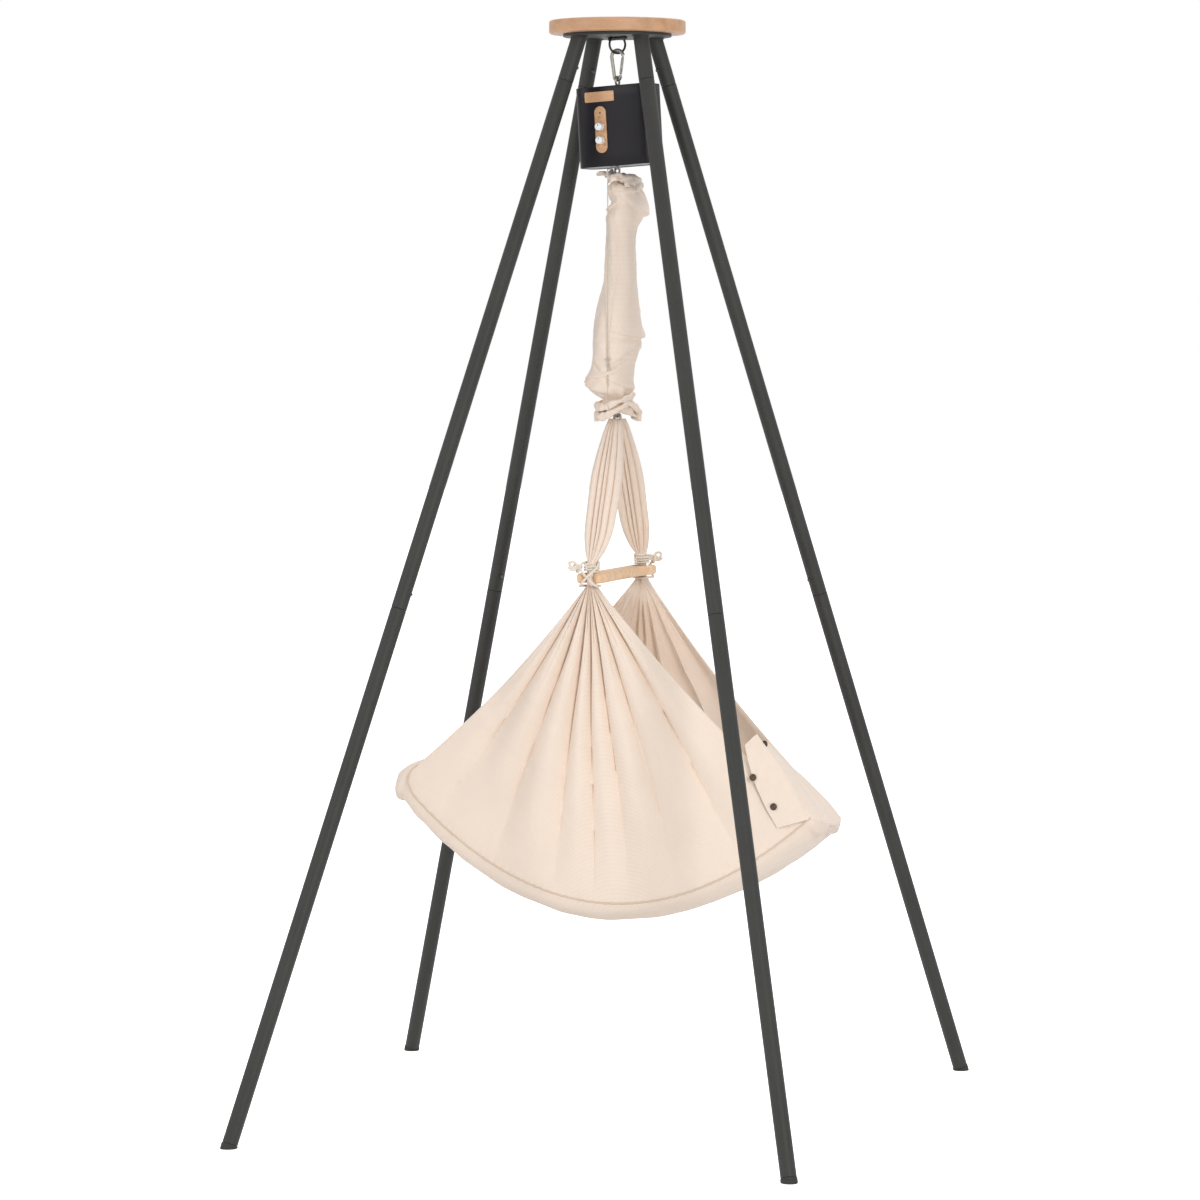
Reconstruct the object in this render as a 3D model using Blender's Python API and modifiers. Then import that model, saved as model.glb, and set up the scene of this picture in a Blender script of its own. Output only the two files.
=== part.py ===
"""Baby spring cradle: a cloth hammock that hangs on a coil spring from a small motor, under a four-legged tube stand.

Metres, +Z up. The origin is on the floor, in the middle of the box round the four feet. +X runs along the
hammock, towards its buttoned end, and +Y across it. Everything hangs on one upright line, the hub axis.
"""

import math

import bmesh
import bpy
import numpy as np
from mathutils import Matrix, Vector

# Clearance between pieces that touch
GAP = 0.0003

# Stand
STAND_HEIGHT = 1.990
DISC_RADIUS = 0.124
DISC_THICKNESS = 0.024
DISC_EDGE = 0.004
PLATE_RADIUS = 0.0985
PLATE_THICKNESS = 0.005
PLATE_HOLE_RADIUS = 0.021
CROSS_BAR_RADIUS = 0.003
CROSS_BAR_LENGTH = 0.066
CROSS_BAR_WELD = 0.0004
TUBE_RADIUS = 0.014
TUBE_WALL = 0.0015
SPIGOT_WALL = 0.0012
SPIGOT_LENGTH = 0.055
TUBE_CHAMFER = 0.0006
LEG_TOP_RADIUS = 0.0800
FOOT_RADIUS = 0.800
SOCKET_LENGTH = 0.0885
UPPER_LEG_LENGTH = 1.004
FOOT_CAP_HEIGHT = 0.0085
FOOT_CAP_LIFT = 0.0010
FOOT_PLUG_LENGTH = 0.022
# Where each leg leaves the hub, and where its foot stands in the photograph: the tubes have play in their
# sockets, so the feet are spread a little unevenly. Degrees from +X.
LEGS = {
    "front_left": (229.5, 229.5),
    "back_left": (139.5, 138.5),
    "back_right": (49.5, 51.5),
    "front_right": (319.5, 309.0),
}
BUTTON_RADIUS = 0.0033
BUTTON_HOLE_RADIUS = 0.0036
BUTTON_STANDS_PROUD = 0.0035
BUTTON_HEAD_RADIUS = 0.0046
BUTTON_HEAD_THICKNESS = 0.0015
BUTTON_ABOVE_SEAM = 0.032

# Ring and snap hooks
RING_RADIUS = 0.016
RING_WIRE = 0.002
RING_DIRECTION = 45.0
HOOK_WIRE = 0.00325
HOOK_TOP_RADIUS = 0.0115
HOOK_BOTTOM_RADIUS = 0.0060
HOOK_CENTRES = 0.0360
HOOK_DIRECTION = -10.0
HOOK_NOSE_ANGLE = 8.0
GATE_WIRE = 0.0026
EYE_RADIUS = 0.0080
EYE_WIRE = 0.0020
LOWER_RING_RADIUS = 0.0090
LOWER_RING_WIRE = 0.0015
LOWER_HOOK_WIRE = 0.0025
LOWER_HOOK_TOP_RADIUS = 0.0080
LOWER_HOOK_BOTTOM_RADIUS = 0.0120
LOWER_HOOK_CENTRES = 0.0280
LOWER_HOOK_DIRECTION = 90.0
LOWER_GATE_WIRE = 0.0021

# Motor box, in its own frame: x along its face, y into it, z up, from the bar that its eye hangs on
BOX_YAW = -7.0
BOX_LEAN = -3.4
BOX_WIDTH = 0.148
BOX_DEPTH = 0.072
BOX_HEIGHT = 0.145
BOX_CORNER = 0.020
BOX_WALL = 0.002
BOX_TOP = -0.0120
COVER_THICKNESS = 0.003
COVER_RECESS = 0.001
NAME_PLATE = (0.058, 0.0185, 0.0018)
CONTROL_PLATE = (0.0225, 0.0845, 0.0018)
PLATES_X = -0.0210
NAME_PLATE_Z = -0.0305
CONTROL_PLATE_Z = -0.0900
KNOB_RADIUS = 0.0066
KNOB_LENGTH = 0.0125
KNOB_SHAFT_RADIUS = 0.0030
KNOB_ZS = {"speed_knob": -0.0850, "timer_knob": -0.1095}
LAMP_RADIUS = 0.0015
LAMP_Z = -0.0600
DRUM_RADIUS = 0.0085
DRUM_FLANGE_RADIUS = 0.0130
DRUM_WIDTH = 0.0125
DRUM_Z = -0.0750
SHAFT_RADIUS = 0.003
BELT_THICKNESS = 0.0012
BELT_WIDTH = 0.010
BRACKET_THICKNESS = 0.003
BRACKET_WIDTH = 0.044
BRACKET_DROP = 0.085

# Spring, its sleeve and the cord beside it, by height above the floor
LIFT_HOOK_TOP = STAND_HEIGHT - 0.2665
LIFT_HOOK_SIZE = (0.012, 0.0026, 0.0215)
LIFT_EYE_RADIUS = 0.0030
SPRING_WIRE = 0.0015
SPRING_RADIUS = 0.0120
SPRING_TURNS = 22
SPRING_COIL_TOP = STAND_HEIGHT - 0.3540
SPRING_COIL_BOTTOM = STAND_HEIGHT - 0.6280
SPRING_LOOP_RADIUS = 0.0060
SPRING_LOOP_BOTTOM = STAND_HEIGHT - 0.6595
SLEEVE_WALL = 0.0020
CORD_RADIUS = 0.0011

# Hammock
BAR_HEIGHT = STAND_HEIGHT - 1.0050
BAR_LENGTH = 0.340
BAR_WIDTH = 0.047
BAR_WAIST = 0.040
BAR_THICKNESS = 0.018
BAR_EDGE = 0.004
FORK_GAP = 0.0165
FORK_DEPTH = 0.046
GATHER_Y = BAR_LENGTH / 2 - 0.020
GATHER_HALF_WIDTH = 0.0078
GATHER_HALF_DEPTH = 0.0120
STRAP_TOP_Y = 0.0112
STRAP_TOP_HALF = 0.0050
LOOP_BAND_THICKNESS = 0.0014
LOOP_BAND_RADIUS = 0.0058
CLOTH = 0.003
PANEL_TOP = STAND_HEIGHT - 1.0185
SEAM_LOW_Z = STAND_HEIGHT - 1.5900
BED_CURVE = 1.23
BED_SHIFT = 0.039
BED_LEFT = -0.378
BED_RIGHT = 0.392
BED_SKEW = 0.013
SEAM_HALF_WIDTH = 0.158
POCKET_SAG = 0.036
MATTRESS_THICKNESS = 0.030
MATTRESS_ROWS = (1, 18)
BUTTONED_FLAP_HEIGHT = 0.140
PLAIN_FLAP_HEIGHT = 0.100
FLAP_SLOPE = 0.64
TIE_WIRE = 0.0021
TIE_TURNS = 3

SIDES = 16
UP = Vector((0, 0, 1))


def heading(degrees):
    """The level unit vector at this angle from +X."""
    return Vector((math.cos(math.radians(degrees)), math.sin(math.radians(degrees)), 0))


def clear_scene():
    for item in list(bpy.data.objects):
        bpy.data.objects.remove(item, do_unlink=True)


def make_collection(name):
    collection = bpy.data.collections.new(name)
    bpy.context.scene.collection.children.link(collection)
    return collection


def make_material(name, colour, roughness, metallic=0.0):
    material = bpy.data.materials.new(name)
    material.use_nodes = True
    shader = material.node_tree.nodes["Principled BSDF"]
    shader.inputs["Base Color"].default_value = (*colour, 1)
    shader.inputs["Roughness"].default_value = roughness
    shader.inputs["Metallic"].default_value = metallic
    return material


clear_scene()
CRADLE = make_collection("baby_spring_cradle")
CUTTERS = make_collection("cutters")

BEECH = make_material("beech", (0.60, 0.36, 0.19), 0.55)
BLACK_STEEL = make_material("black_steel", (0.055, 0.055, 0.053), 0.55, 0.3)
STEEL = make_material("steel", (0.56, 0.54, 0.51), 0.35, 1.0)
RUBBER = make_material("black_rubber", (0.012, 0.012, 0.012), 0.8)
BOX_PAINT = make_material("graphite_paint", (0.058, 0.055, 0.060), 0.45, 0.2)
PLASTIC = make_material("black_plastic", (0.03, 0.03, 0.03), 0.5)
WHITE_PLASTIC = make_material("white_plastic", (0.85, 0.85, 0.85), 0.3)
BOARD_GREEN = make_material("board_green", (0.03, 0.16, 0.07), 0.5)
WEBBING = make_material("webbing", (0.75, 0.70, 0.62), 0.85)
COTTON = make_material("cream_cotton", (0.88, 0.73, 0.58), 0.9)
ROPE = make_material("white_rope", (0.80, 0.76, 0.70), 0.85)
CORD = make_material("grey_cord", (0.25, 0.22, 0.19), 0.8)


def make_empty(name, parent, matrix):
    empty = bpy.data.objects.new(name, None)
    CRADLE.objects.link(empty)
    empty.parent = parent
    empty.matrix_local = matrix
    return empty


def add_object(name, data, material, parent, matrix=None, collection=None):
    obj = bpy.data.objects.new(name, data)
    (collection or CRADLE).objects.link(obj)
    if material:
        data.materials.append(material)
    obj.parent = parent
    obj.matrix_local = matrix or Matrix()
    return obj


def mesh_from(bm, name, smooth_angle=35):
    mesh = bpy.data.meshes.new(name)
    bmesh.ops.recalc_face_normals(bm, faces=bm.faces)
    if bm.calc_volume(signed=True) < 0:
        bmesh.ops.reverse_faces(bm, faces=bm.faces)
    bm.to_mesh(mesh)
    bm.free()
    mesh.shade_smooth()
    mesh.set_sharp_from_angle(angle=math.radians(smooth_angle))
    return mesh


def make_cutter(obj):
    for collection in list(obj.users_collection):
        collection.objects.unlink(obj)
    CUTTERS.objects.link(obj)
    obj.hide_render = True
    obj.display_type = "WIRE"
    return obj


def boolean(obj, other, operation="DIFFERENCE"):
    modifier = obj.modifiers.new(operation.lower(), "BOOLEAN")
    modifier.operation = operation
    modifier.object = other
    return obj


def box(name, size, material, parent, matrix=None, edge=0.0):
    bm = bmesh.new()
    bmesh.ops.create_cube(bm, size=1.0, matrix=Matrix.Diagonal((*size, 1)))
    obj = add_object(name, mesh_from(bm, name), material, parent, matrix)
    if edge:
        bevel = obj.modifiers.new("edges", "BEVEL")
        bevel.width = edge
        bevel.segments = 2
        bevel.limit_method = "ANGLE"
    return obj


def cylinder(name, radius, length, material, parent, matrix=None, sides=SIDES, edge=0.0):
    """A solid cylinder about the middle of its own Z axis."""
    bm = bmesh.new()
    bmesh.ops.create_cone(
        bm, cap_ends=True, segments=sides, radius1=radius, radius2=radius, depth=length
    )
    obj = add_object(name, mesh_from(bm, name), material, parent, matrix)
    if edge:
        bevel = obj.modifiers.new("edges", "BEVEL")
        bevel.width = edge
        bevel.segments = 2
        bevel.limit_method = "ANGLE"
    return obj


def turned(name, profile, material, parent, matrix=None, sides=SIDES):
    """A solid turned about Z from (radius, height) pairs, down its outside. It has a bore unless they start at radius 0."""
    bm = bmesh.new()
    points = [bm.verts.new((radius, 0, height)) for radius, height in profile]
    after = points[1:] + points[:1] if profile[0][0] else points[1:]
    for first, second in zip(points, after):
        bm.edges.new((first, second))
    mesh = bpy.data.meshes.new(name)
    bm.to_mesh(mesh)
    bm.free()
    obj = add_object(name, mesh, material, parent, matrix)
    screw = obj.modifiers.new("turn", "SCREW")
    screw.steps = sides
    screw.render_steps = sides
    screw.use_merge_vertices = True
    screw.merge_threshold = 0.00001
    screw.use_smooth_shade = False
    return obj


def wire(name, points, radius, material, parent, matrix=None, closed=False, resolution=1):
    """A round wire or cord through these points."""
    curve = bpy.data.curves.new(name, "CURVE")
    curve.dimensions = "3D"
    curve.bevel_depth = radius
    curve.bevel_resolution = resolution
    curve.use_fill_caps = True
    spline = curve.splines.new("POLY")
    spline.points.add(len(points) - 1)
    for slot, point in zip(spline.points, points):
        slot.co = (*point, 1)
    spline.use_cyclic_u = closed
    return add_object(name, curve, material, parent, matrix)


def as_mesh(obj):
    """The same object as a mesh with welded caps, so that it can be cut or joined."""
    bpy.context.view_layer.update()
    graph = bpy.context.evaluated_depsgraph_get()
    mesh = bpy.data.meshes.new_from_object(obj.evaluated_get(graph), depsgraph=graph)
    bm = bmesh.new()
    bm.from_mesh(mesh)
    bmesh.ops.remove_doubles(bm, verts=bm.verts, dist=0.00001)
    bmesh.ops.recalc_face_normals(bm, faces=bm.faces)
    bm.to_mesh(mesh)
    bm.free()
    name = obj.name
    parent = obj.parent
    matrix = obj.matrix_local.copy()
    bpy.data.objects.remove(obj, do_unlink=True)
    return add_object(name, mesh, None, parent, matrix)


def ring_points(radius, count):
    """A circle in the XZ plane."""
    turns = [2 * math.pi * step / count for step in range(count)]
    return [(radius * math.cos(turn), 0, radius * math.sin(turn)) for turn in turns]


def loft(name, rows, material, parent, matrix=None, smooth_angle=60):
    """A closed solid through rows of points, each row a closed loop with as many points, with its ends capped."""
    bm = bmesh.new()
    loops = [[bm.verts.new(point) for point in row] for row in rows]
    count = len(loops[0])
    for low, high in zip(loops, loops[1:]):
        for step in range(count):
            after = (step + 1) % count
            bm.faces.new((low[step], low[after], high[after], high[step]))
    bm.faces.new(loops[0])
    bm.faces.new(loops[-1])
    bmesh.ops.triangulate(bm, faces=[face for face in bm.faces if len(face.verts) > 4])
    return add_object(name, mesh_from(bm, name, smooth_angle), material, parent, matrix)


def between(table, at, smooth=True):
    """Reads values between rows of (place, value, ...), which may run up or down."""
    rows = sorted(table)
    places = np.array([row[0] for row in rows])
    spot = float(np.clip(at, places[0], places[-1]))
    upper = int(np.clip(np.searchsorted(places, spot), 1, len(places) - 1))
    share = (spot - places[upper - 1]) / (places[upper] - places[upper - 1])
    if smooth:
        share = share * share * (3 - 2 * share)
    first, second = rows[upper - 1], rows[upper]
    return [a + (b - a) * share for a, b in zip(first[1:], second[1:])]


# Heights that follow from the driving sizes
DISC_BOTTOM = STAND_HEIGHT - DISC_THICKNESS
PLATE_TOP = DISC_BOTTOM - GAP
PLATE_BOTTOM = PLATE_TOP - PLATE_THICKNESS
CROSS_BAR_Z = PLATE_BOTTOM - CROSS_BAR_RADIUS + CROSS_BAR_WELD
RING_TOP_Z = CROSS_BAR_Z + CROSS_BAR_RADIUS + GAP + RING_WIRE
RING_BOTTOM_Z = RING_TOP_Z - 2 * RING_RADIUS
HOOK_TOP_Z = RING_BOTTOM_Z + RING_WIRE + GAP + HOOK_WIRE
HOOK_BOTTOM_Z = HOOK_TOP_Z - HOOK_TOP_RADIUS - HOOK_CENTRES - HOOK_BOTTOM_RADIUS
LOWER_RING_TOP_Z = SPRING_LOOP_BOTTOM + SPRING_WIRE + GAP + LOWER_RING_WIRE
LOWER_RING_BOTTOM_Z = LOWER_RING_TOP_Z - 2 * LOWER_RING_RADIUS
LOWER_HOOK_TOP_Z = LOWER_RING_BOTTOM_Z + LOWER_RING_WIRE + GAP + LOWER_HOOK_WIRE
LOWER_HOOK_BOTTOM_Z = (
    LOWER_HOOK_TOP_Z - LOWER_HOOK_TOP_RADIUS - LOWER_HOOK_CENTRES - LOWER_HOOK_BOTTOM_RADIUS
)

STRAP_TOP_Z = LOWER_HOOK_BOTTOM_Z - LOWER_HOOK_WIRE - 0.0012


def foot_place(azimuth):
    return heading(azimuth) * FOOT_RADIUS


def hub_axis_place():
    """The hub axis lies off the middle of the feet's box, because the feet are spread unevenly."""
    feet = [foot_place(azimuth) for _, azimuth in LEGS.values()]
    middle_x = (min(foot.x for foot in feet) + max(foot.x for foot in feet)) / 2
    middle_y = (min(foot.y for foot in feet) + max(foot.y for foot in feet)) / 2
    return Vector((-middle_x, -middle_y, 0))


HUB_AXIS = make_empty("hub_axis", None, Matrix.Translation(hub_axis_place()))


def turned_to(degrees, z=0.0):
    """A frame on the hub axis at height z, whose X points along this heading."""
    return Matrix.Translation((0, 0, z)) @ Matrix.Rotation(math.radians(degrees), 4, "Z")


# Hub: the wooden disc, the steel plate under it and the bar that the ring hangs on


def build_hub():
    cylinder(
        "top_disc",
        DISC_RADIUS,
        DISC_THICKNESS,
        BEECH,
        HUB_AXIS,
        Matrix.Translation((0, 0, STAND_HEIGHT - DISC_THICKNESS / 2)),
        sides=32,
        edge=DISC_EDGE,
    )
    plate = turned(
        "hub_plate",
        [
            (PLATE_RADIUS, PLATE_TOP),
            (PLATE_RADIUS, PLATE_BOTTOM),
            (PLATE_HOLE_RADIUS, PLATE_BOTTOM),
            (PLATE_HOLE_RADIUS, PLATE_TOP),
        ],
        BLACK_STEEL,
        HUB_AXIS,
        sides=32,
    )
    bar = cylinder(
        "hub_cross_bar",
        CROSS_BAR_RADIUS,
        CROSS_BAR_LENGTH,
        None,
        HUB_AXIS,
        turned_to(RING_DIRECTION, CROSS_BAR_Z) @ Matrix.Rotation(math.pi / 2, 4, "X"),
        sides=16,
    )
    boolean(plate, make_cutter(bar), "UNION")


# Legs: each is a socket under the plate, an upper and a lower tube, and a foot cap.
# A leg's own frame starts where its middle line meets the plate, with Z up the leg and X towards the hub axis.


def leg_frame(socket_azimuth, foot_azimuth):
    top = heading(socket_azimuth) * LEG_TOP_RADIUS + UP * PLATE_BOTTOM
    foot = foot_place(foot_azimuth)
    up = (top - foot).normalized()
    inward = (-heading(foot_azimuth) - up * (-heading(foot_azimuth)).dot(up)).normalized()
    side = up.cross(inward)
    frame = Matrix((inward, side, up)).transposed().to_4x4()
    frame.translation = top
    return frame, (top - foot).length


def leg_tube(name, seam, lower_end, parent):
    """A leg tube whose drawn-down top end fits into the tube above, from its seam to its lower end."""
    bore = TUBE_RADIUS - TUBE_WALL
    spigot = bore - GAP
    return turned(
        name,
        [
            (spigot, seam + SPIGOT_LENGTH),
            (spigot, seam),
            (TUBE_RADIUS - TUBE_CHAMFER, seam),
            (TUBE_RADIUS, seam - TUBE_CHAMFER),
            (TUBE_RADIUS, lower_end),
            (bore, lower_end),
            (bore, seam - 0.012),
            (spigot - SPIGOT_WALL, seam),
            (spigot - SPIGOT_WALL, seam + SPIGOT_LENGTH),
        ],
        BLACK_STEEL,
        parent,
    )


def snap_button(name, seam, parent):
    """A sprung button in the spigot, which pops out through a hole in the tube over it."""
    tip = TUBE_RADIUS + BUTTON_STANDS_PROUD
    spigot_bore = TUBE_RADIUS - TUBE_WALL - GAP - SPIGOT_WALL
    head_top = math.sqrt(spigot_bore**2 - BUTTON_HEAD_RADIUS**2) - GAP
    lay_along_x = Matrix.Translation((0, 0, seam + BUTTON_ABOVE_SEAM)) @ Matrix.Rotation(
        math.pi / 2, 4, "Y"
    )
    return turned(
        name,
        [
            (0, tip),
            (BUTTON_RADIUS * 0.6, tip - 0.0002),
            (BUTTON_RADIUS, tip - 0.0014),
            (BUTTON_RADIUS, head_top),
            (BUTTON_HEAD_RADIUS, head_top),
            (BUTTON_HEAD_RADIUS, head_top - BUTTON_HEAD_THICKNESS),
            (0, head_top - BUTTON_HEAD_THICKNESS),
        ],
        STEEL,
        parent,
        lay_along_x,
        sides=10,
    )


def button_hole(seam, parent):
    """A cutter for the button's hole through both walls on the hub's side."""
    reach = TUBE_RADIUS
    cutter = cylinder(
        "button_hole",
        BUTTON_HOLE_RADIUS,
        reach,
        None,
        parent,
        Matrix.Translation((TUBE_RADIUS, 0, seam + BUTTON_ABOVE_SEAM))
        @ Matrix.Rotation(math.pi / 2, 4, "Y"),
        sides=12,
    )
    return make_cutter(cutter)


def build_legs():
    above_plate = make_cutter(
        box(
            "above_plate",
            (0.4, 0.4, 0.1),
            None,
            HUB_AXIS,
            Matrix.Translation((0, 0, PLATE_BOTTOM - GAP + 0.05)),
        )
    )
    below_floor = make_cutter(
        box("below_floor", (2.4, 2.4, 0.1), None, HUB_AXIS, Matrix.Translation((0, 0, -0.05)))
    )
    bore = TUBE_RADIUS - TUBE_WALL
    for side, (socket_azimuth, foot_azimuth) in LEGS.items():
        frame, length = leg_frame(socket_azimuth, foot_azimuth)
        leg = make_empty(f"leg_{side}", HUB_AXIS, frame)
        first_seam = -SOCKET_LENGTH
        second_seam = first_seam - UPPER_LEG_LENGTH
        tube_end = -(length - FOOT_CAP_HEIGHT)
        socket = turned(
            f"leg_socket_{side}",
            [
                (TUBE_RADIUS, 0.02),
                (TUBE_RADIUS, first_seam + GAP),
                (bore, first_seam + GAP),
                (bore, 0.02),
            ],
            BLACK_STEEL,
            leg,
        )
        boolean(socket, above_plate)
        upper = leg_tube(f"upper_leg_{side}", first_seam, second_seam + GAP, leg)
        lower = leg_tube(f"lower_leg_{side}", second_seam, tube_end + GAP, leg)
        for number, seam, outer, inner in (
            (1, first_seam, socket, upper),
            (2, second_seam, upper, lower),
        ):
            hole = button_hole(seam, leg)
            boolean(outer, hole)
            boolean(inner, hole)
            snap_button(f"snap_button_{side}_{number}", seam, leg)
        cap_bottom = -(length - FOOT_CAP_LIFT / frame.col[2].z)
        cap = cylinder(
            f"foot_cap_{side}",
            TUBE_RADIUS,
            tube_end - cap_bottom,
            RUBBER,
            leg,
            Matrix.Translation((0, 0, (tube_end + cap_bottom) / 2)),
            edge=0.0012,
        )
        plug = cylinder(
            f"foot_plug_{side}",
            bore - GAP,
            FOOT_PLUG_LENGTH,
            None,
            leg,
            Matrix.Translation((0, 0, tube_end + FOOT_PLUG_LENGTH / 2 - 0.002)),
        )
        boolean(cap, make_cutter(plug), "UNION")
        boolean(cap, below_floor)


# Ring and snap hook between the hub and the motor box


def hook_body_points(top_radius, bottom_radius, centres):
    """The hook's pear-shaped wire in the XZ plane, from its gate's hinge round the bottom and the back to the nose.

    z = 0 at the middle of the wire at the bottom of the hook.
    """
    tilt = math.asin((top_radius - bottom_radius) / centres)
    low = Vector((0, 0, bottom_radius))
    high = Vector((0, 0, bottom_radius + centres))

    def on(middle, radius, angle):
        return middle + Vector((radius * math.cos(angle), 0, radius * math.sin(angle)))

    right_low = on(low, bottom_radius, -tilt)
    right_high = on(high, top_radius, -tilt)
    hinge = right_low.lerp(right_high, 0.10)
    points = [hinge]
    for step in range(9):
        points.append(on(low, bottom_radius, -tilt - (math.pi - 2 * tilt) * step / 8))
    nose_angle = math.radians(HOOK_NOSE_ANGLE)
    for step in range(13):
        sweep = math.pi + tilt - (math.pi + tilt - nose_angle) * step / 12
        points.append(on(high, top_radius, sweep))
    return points, hinge, points[-1]


def snap_hook(body_name, gate_name, sizes, wire_radius, gate_radius, bottom_z, direction, resolution):
    frame = make_empty(body_name + "_frame", HUB_AXIS, turned_to(direction, bottom_z))
    points, hinge, nose = hook_body_points(*sizes)
    wire(body_name, points, wire_radius, STEEL, frame, resolution=resolution)
    along = (nose - hinge).normalized()
    # The gate turns about the middle of its rounded lower end
    pivot = hinge + along * (gate_radius + 2 * GAP)
    side = Vector((0, 1, 0))
    gate_place = Matrix((side.cross(along), side, along)).transposed().to_4x4()
    gate_place.translation = pivot
    reach = (nose - pivot).length - GAP - wire_radius * 0.25
    turned(
        gate_name,
        [(0, reach), (gate_radius * 0.6, reach), (gate_radius, reach - gate_radius * 0.5)]
        + [
            (gate_radius * math.cos(turn), -gate_radius * math.sin(turn))
            for turn in (0, math.radians(45))
        ]
        + [(0, -gate_radius)],
        STEEL,
        frame,
        gate_place,
        sides=12,
    )
    return frame


def build_ring_and_hook():
    ring_frame = make_empty("ring_frame", HUB_AXIS, turned_to(RING_DIRECTION, CROSS_BAR_Z))
    ring = wire(
        "hanging_ring",
        ring_points(RING_RADIUS, 20),
        RING_WIRE,
        BLACK_STEEL,
        ring_frame,
        Matrix.Translation((0, 0, RING_TOP_Z - RING_RADIUS - CROSS_BAR_Z)),
        closed=True,
        resolution=2,
    )
    snap_hook(
        "upper_snap_hook",
        "upper_hook_gate",
        (HOOK_TOP_RADIUS, HOOK_BOTTOM_RADIUS, HOOK_CENTRES),
        HOOK_WIRE,
        GATE_WIRE,
        HOOK_BOTTOM_Z,
        HOOK_DIRECTION,
        2,
    )
    return ring


# Motor box


def rounded_rectangle(width, depth, corner, steps=4):
    points = []
    for turn, (sign_x, sign_y) in enumerate(((1, 1), (-1, 1), (-1, -1), (1, -1))):
        for step in range(steps + 1):
            angle = math.pi / 2 * (turn + step / steps)
            points.append(
                (
                    sign_x * (width / 2 - corner) + corner * math.cos(angle),
                    sign_y * (depth / 2 - corner) + corner * math.sin(angle),
                )
            )
    return points


def slab(name, outline, low, high, material, parent):
    """A solid with this flat outline between two heights."""
    rows = [[(x, y, z) for x, y in outline] for z in (low, high)]
    return loft(name, rows, material, parent, smooth_angle=30)


def into_face(x, y, z):
    """A frame at this place on the box, whose Z points out of the box's face."""
    return Matrix.Translation((x, y, z)) @ Matrix.Rotation(math.pi / 2, 4, "X")


def plate_on_face(name, size, corner, z, parent):
    width, height, thickness = size
    outline = rounded_rectangle(width, height, corner, steps=5)
    plate = slab(name, outline, GAP, GAP + thickness, BEECH, parent)
    plate.matrix_local = into_face(PLATES_X, -BOX_DEPTH / 2, z)
    return plate


def build_box_shell(box_frame):
    shell_rows = rounded_rectangle(BOX_WIDTH, BOX_DEPTH, BOX_CORNER)
    inner_rows = rounded_rectangle(
        BOX_WIDTH - 2 * BOX_WALL, BOX_DEPTH - 2 * BOX_WALL, BOX_CORNER - BOX_WALL
    )
    shell = slab("motor_housing", shell_rows, BOX_TOP - BOX_HEIGHT, BOX_TOP, BOX_PAINT, box_frame)
    hollow = slab(
        "housing_hollow", inner_rows, BOX_TOP - BOX_HEIGHT - 0.01, BOX_TOP + 0.01, None, box_frame
    )
    boolean(shell, make_cutter(hollow))
    cover_outline = rounded_rectangle(
        BOX_WIDTH - 2 * BOX_WALL - 2 * GAP,
        BOX_DEPTH - 2 * BOX_WALL - 2 * GAP,
        BOX_CORNER - BOX_WALL - GAP,
    )
    lid_top = BOX_TOP - COVER_RECESS
    base_bottom = BOX_TOP - BOX_HEIGHT + COVER_RECESS
    lid = slab(
        "housing_lid", cover_outline, lid_top - COVER_THICKNESS, lid_top, BOX_PAINT, box_frame
    )
    stem_hole = cylinder(
        "stem_hole",
        SHAFT_RADIUS + GAP,
        0.02,
        None,
        box_frame,
        Matrix.Translation((0, 0, lid_top)),
    )
    boolean(lid, make_cutter(stem_hole))
    base = slab(
        "housing_base",
        cover_outline,
        base_bottom,
        base_bottom + COVER_THICKNESS,
        BOX_PAINT,
        box_frame,
    )
    belt_slot = box(
        "belt_slot",
        (0.008, BELT_WIDTH + 0.004, 0.02),
        None,
        box_frame,
        Matrix.Translation((plumb_x(base_bottom), 0, base_bottom)),
    )
    boolean(base, make_cutter(belt_slot))
    return shell


def plumb_x(z):
    """Where the upright line through the hub axis passes in the leaning box, at this height of the box's own frame."""
    return z * math.tan(math.radians(-BOX_LEAN))


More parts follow.
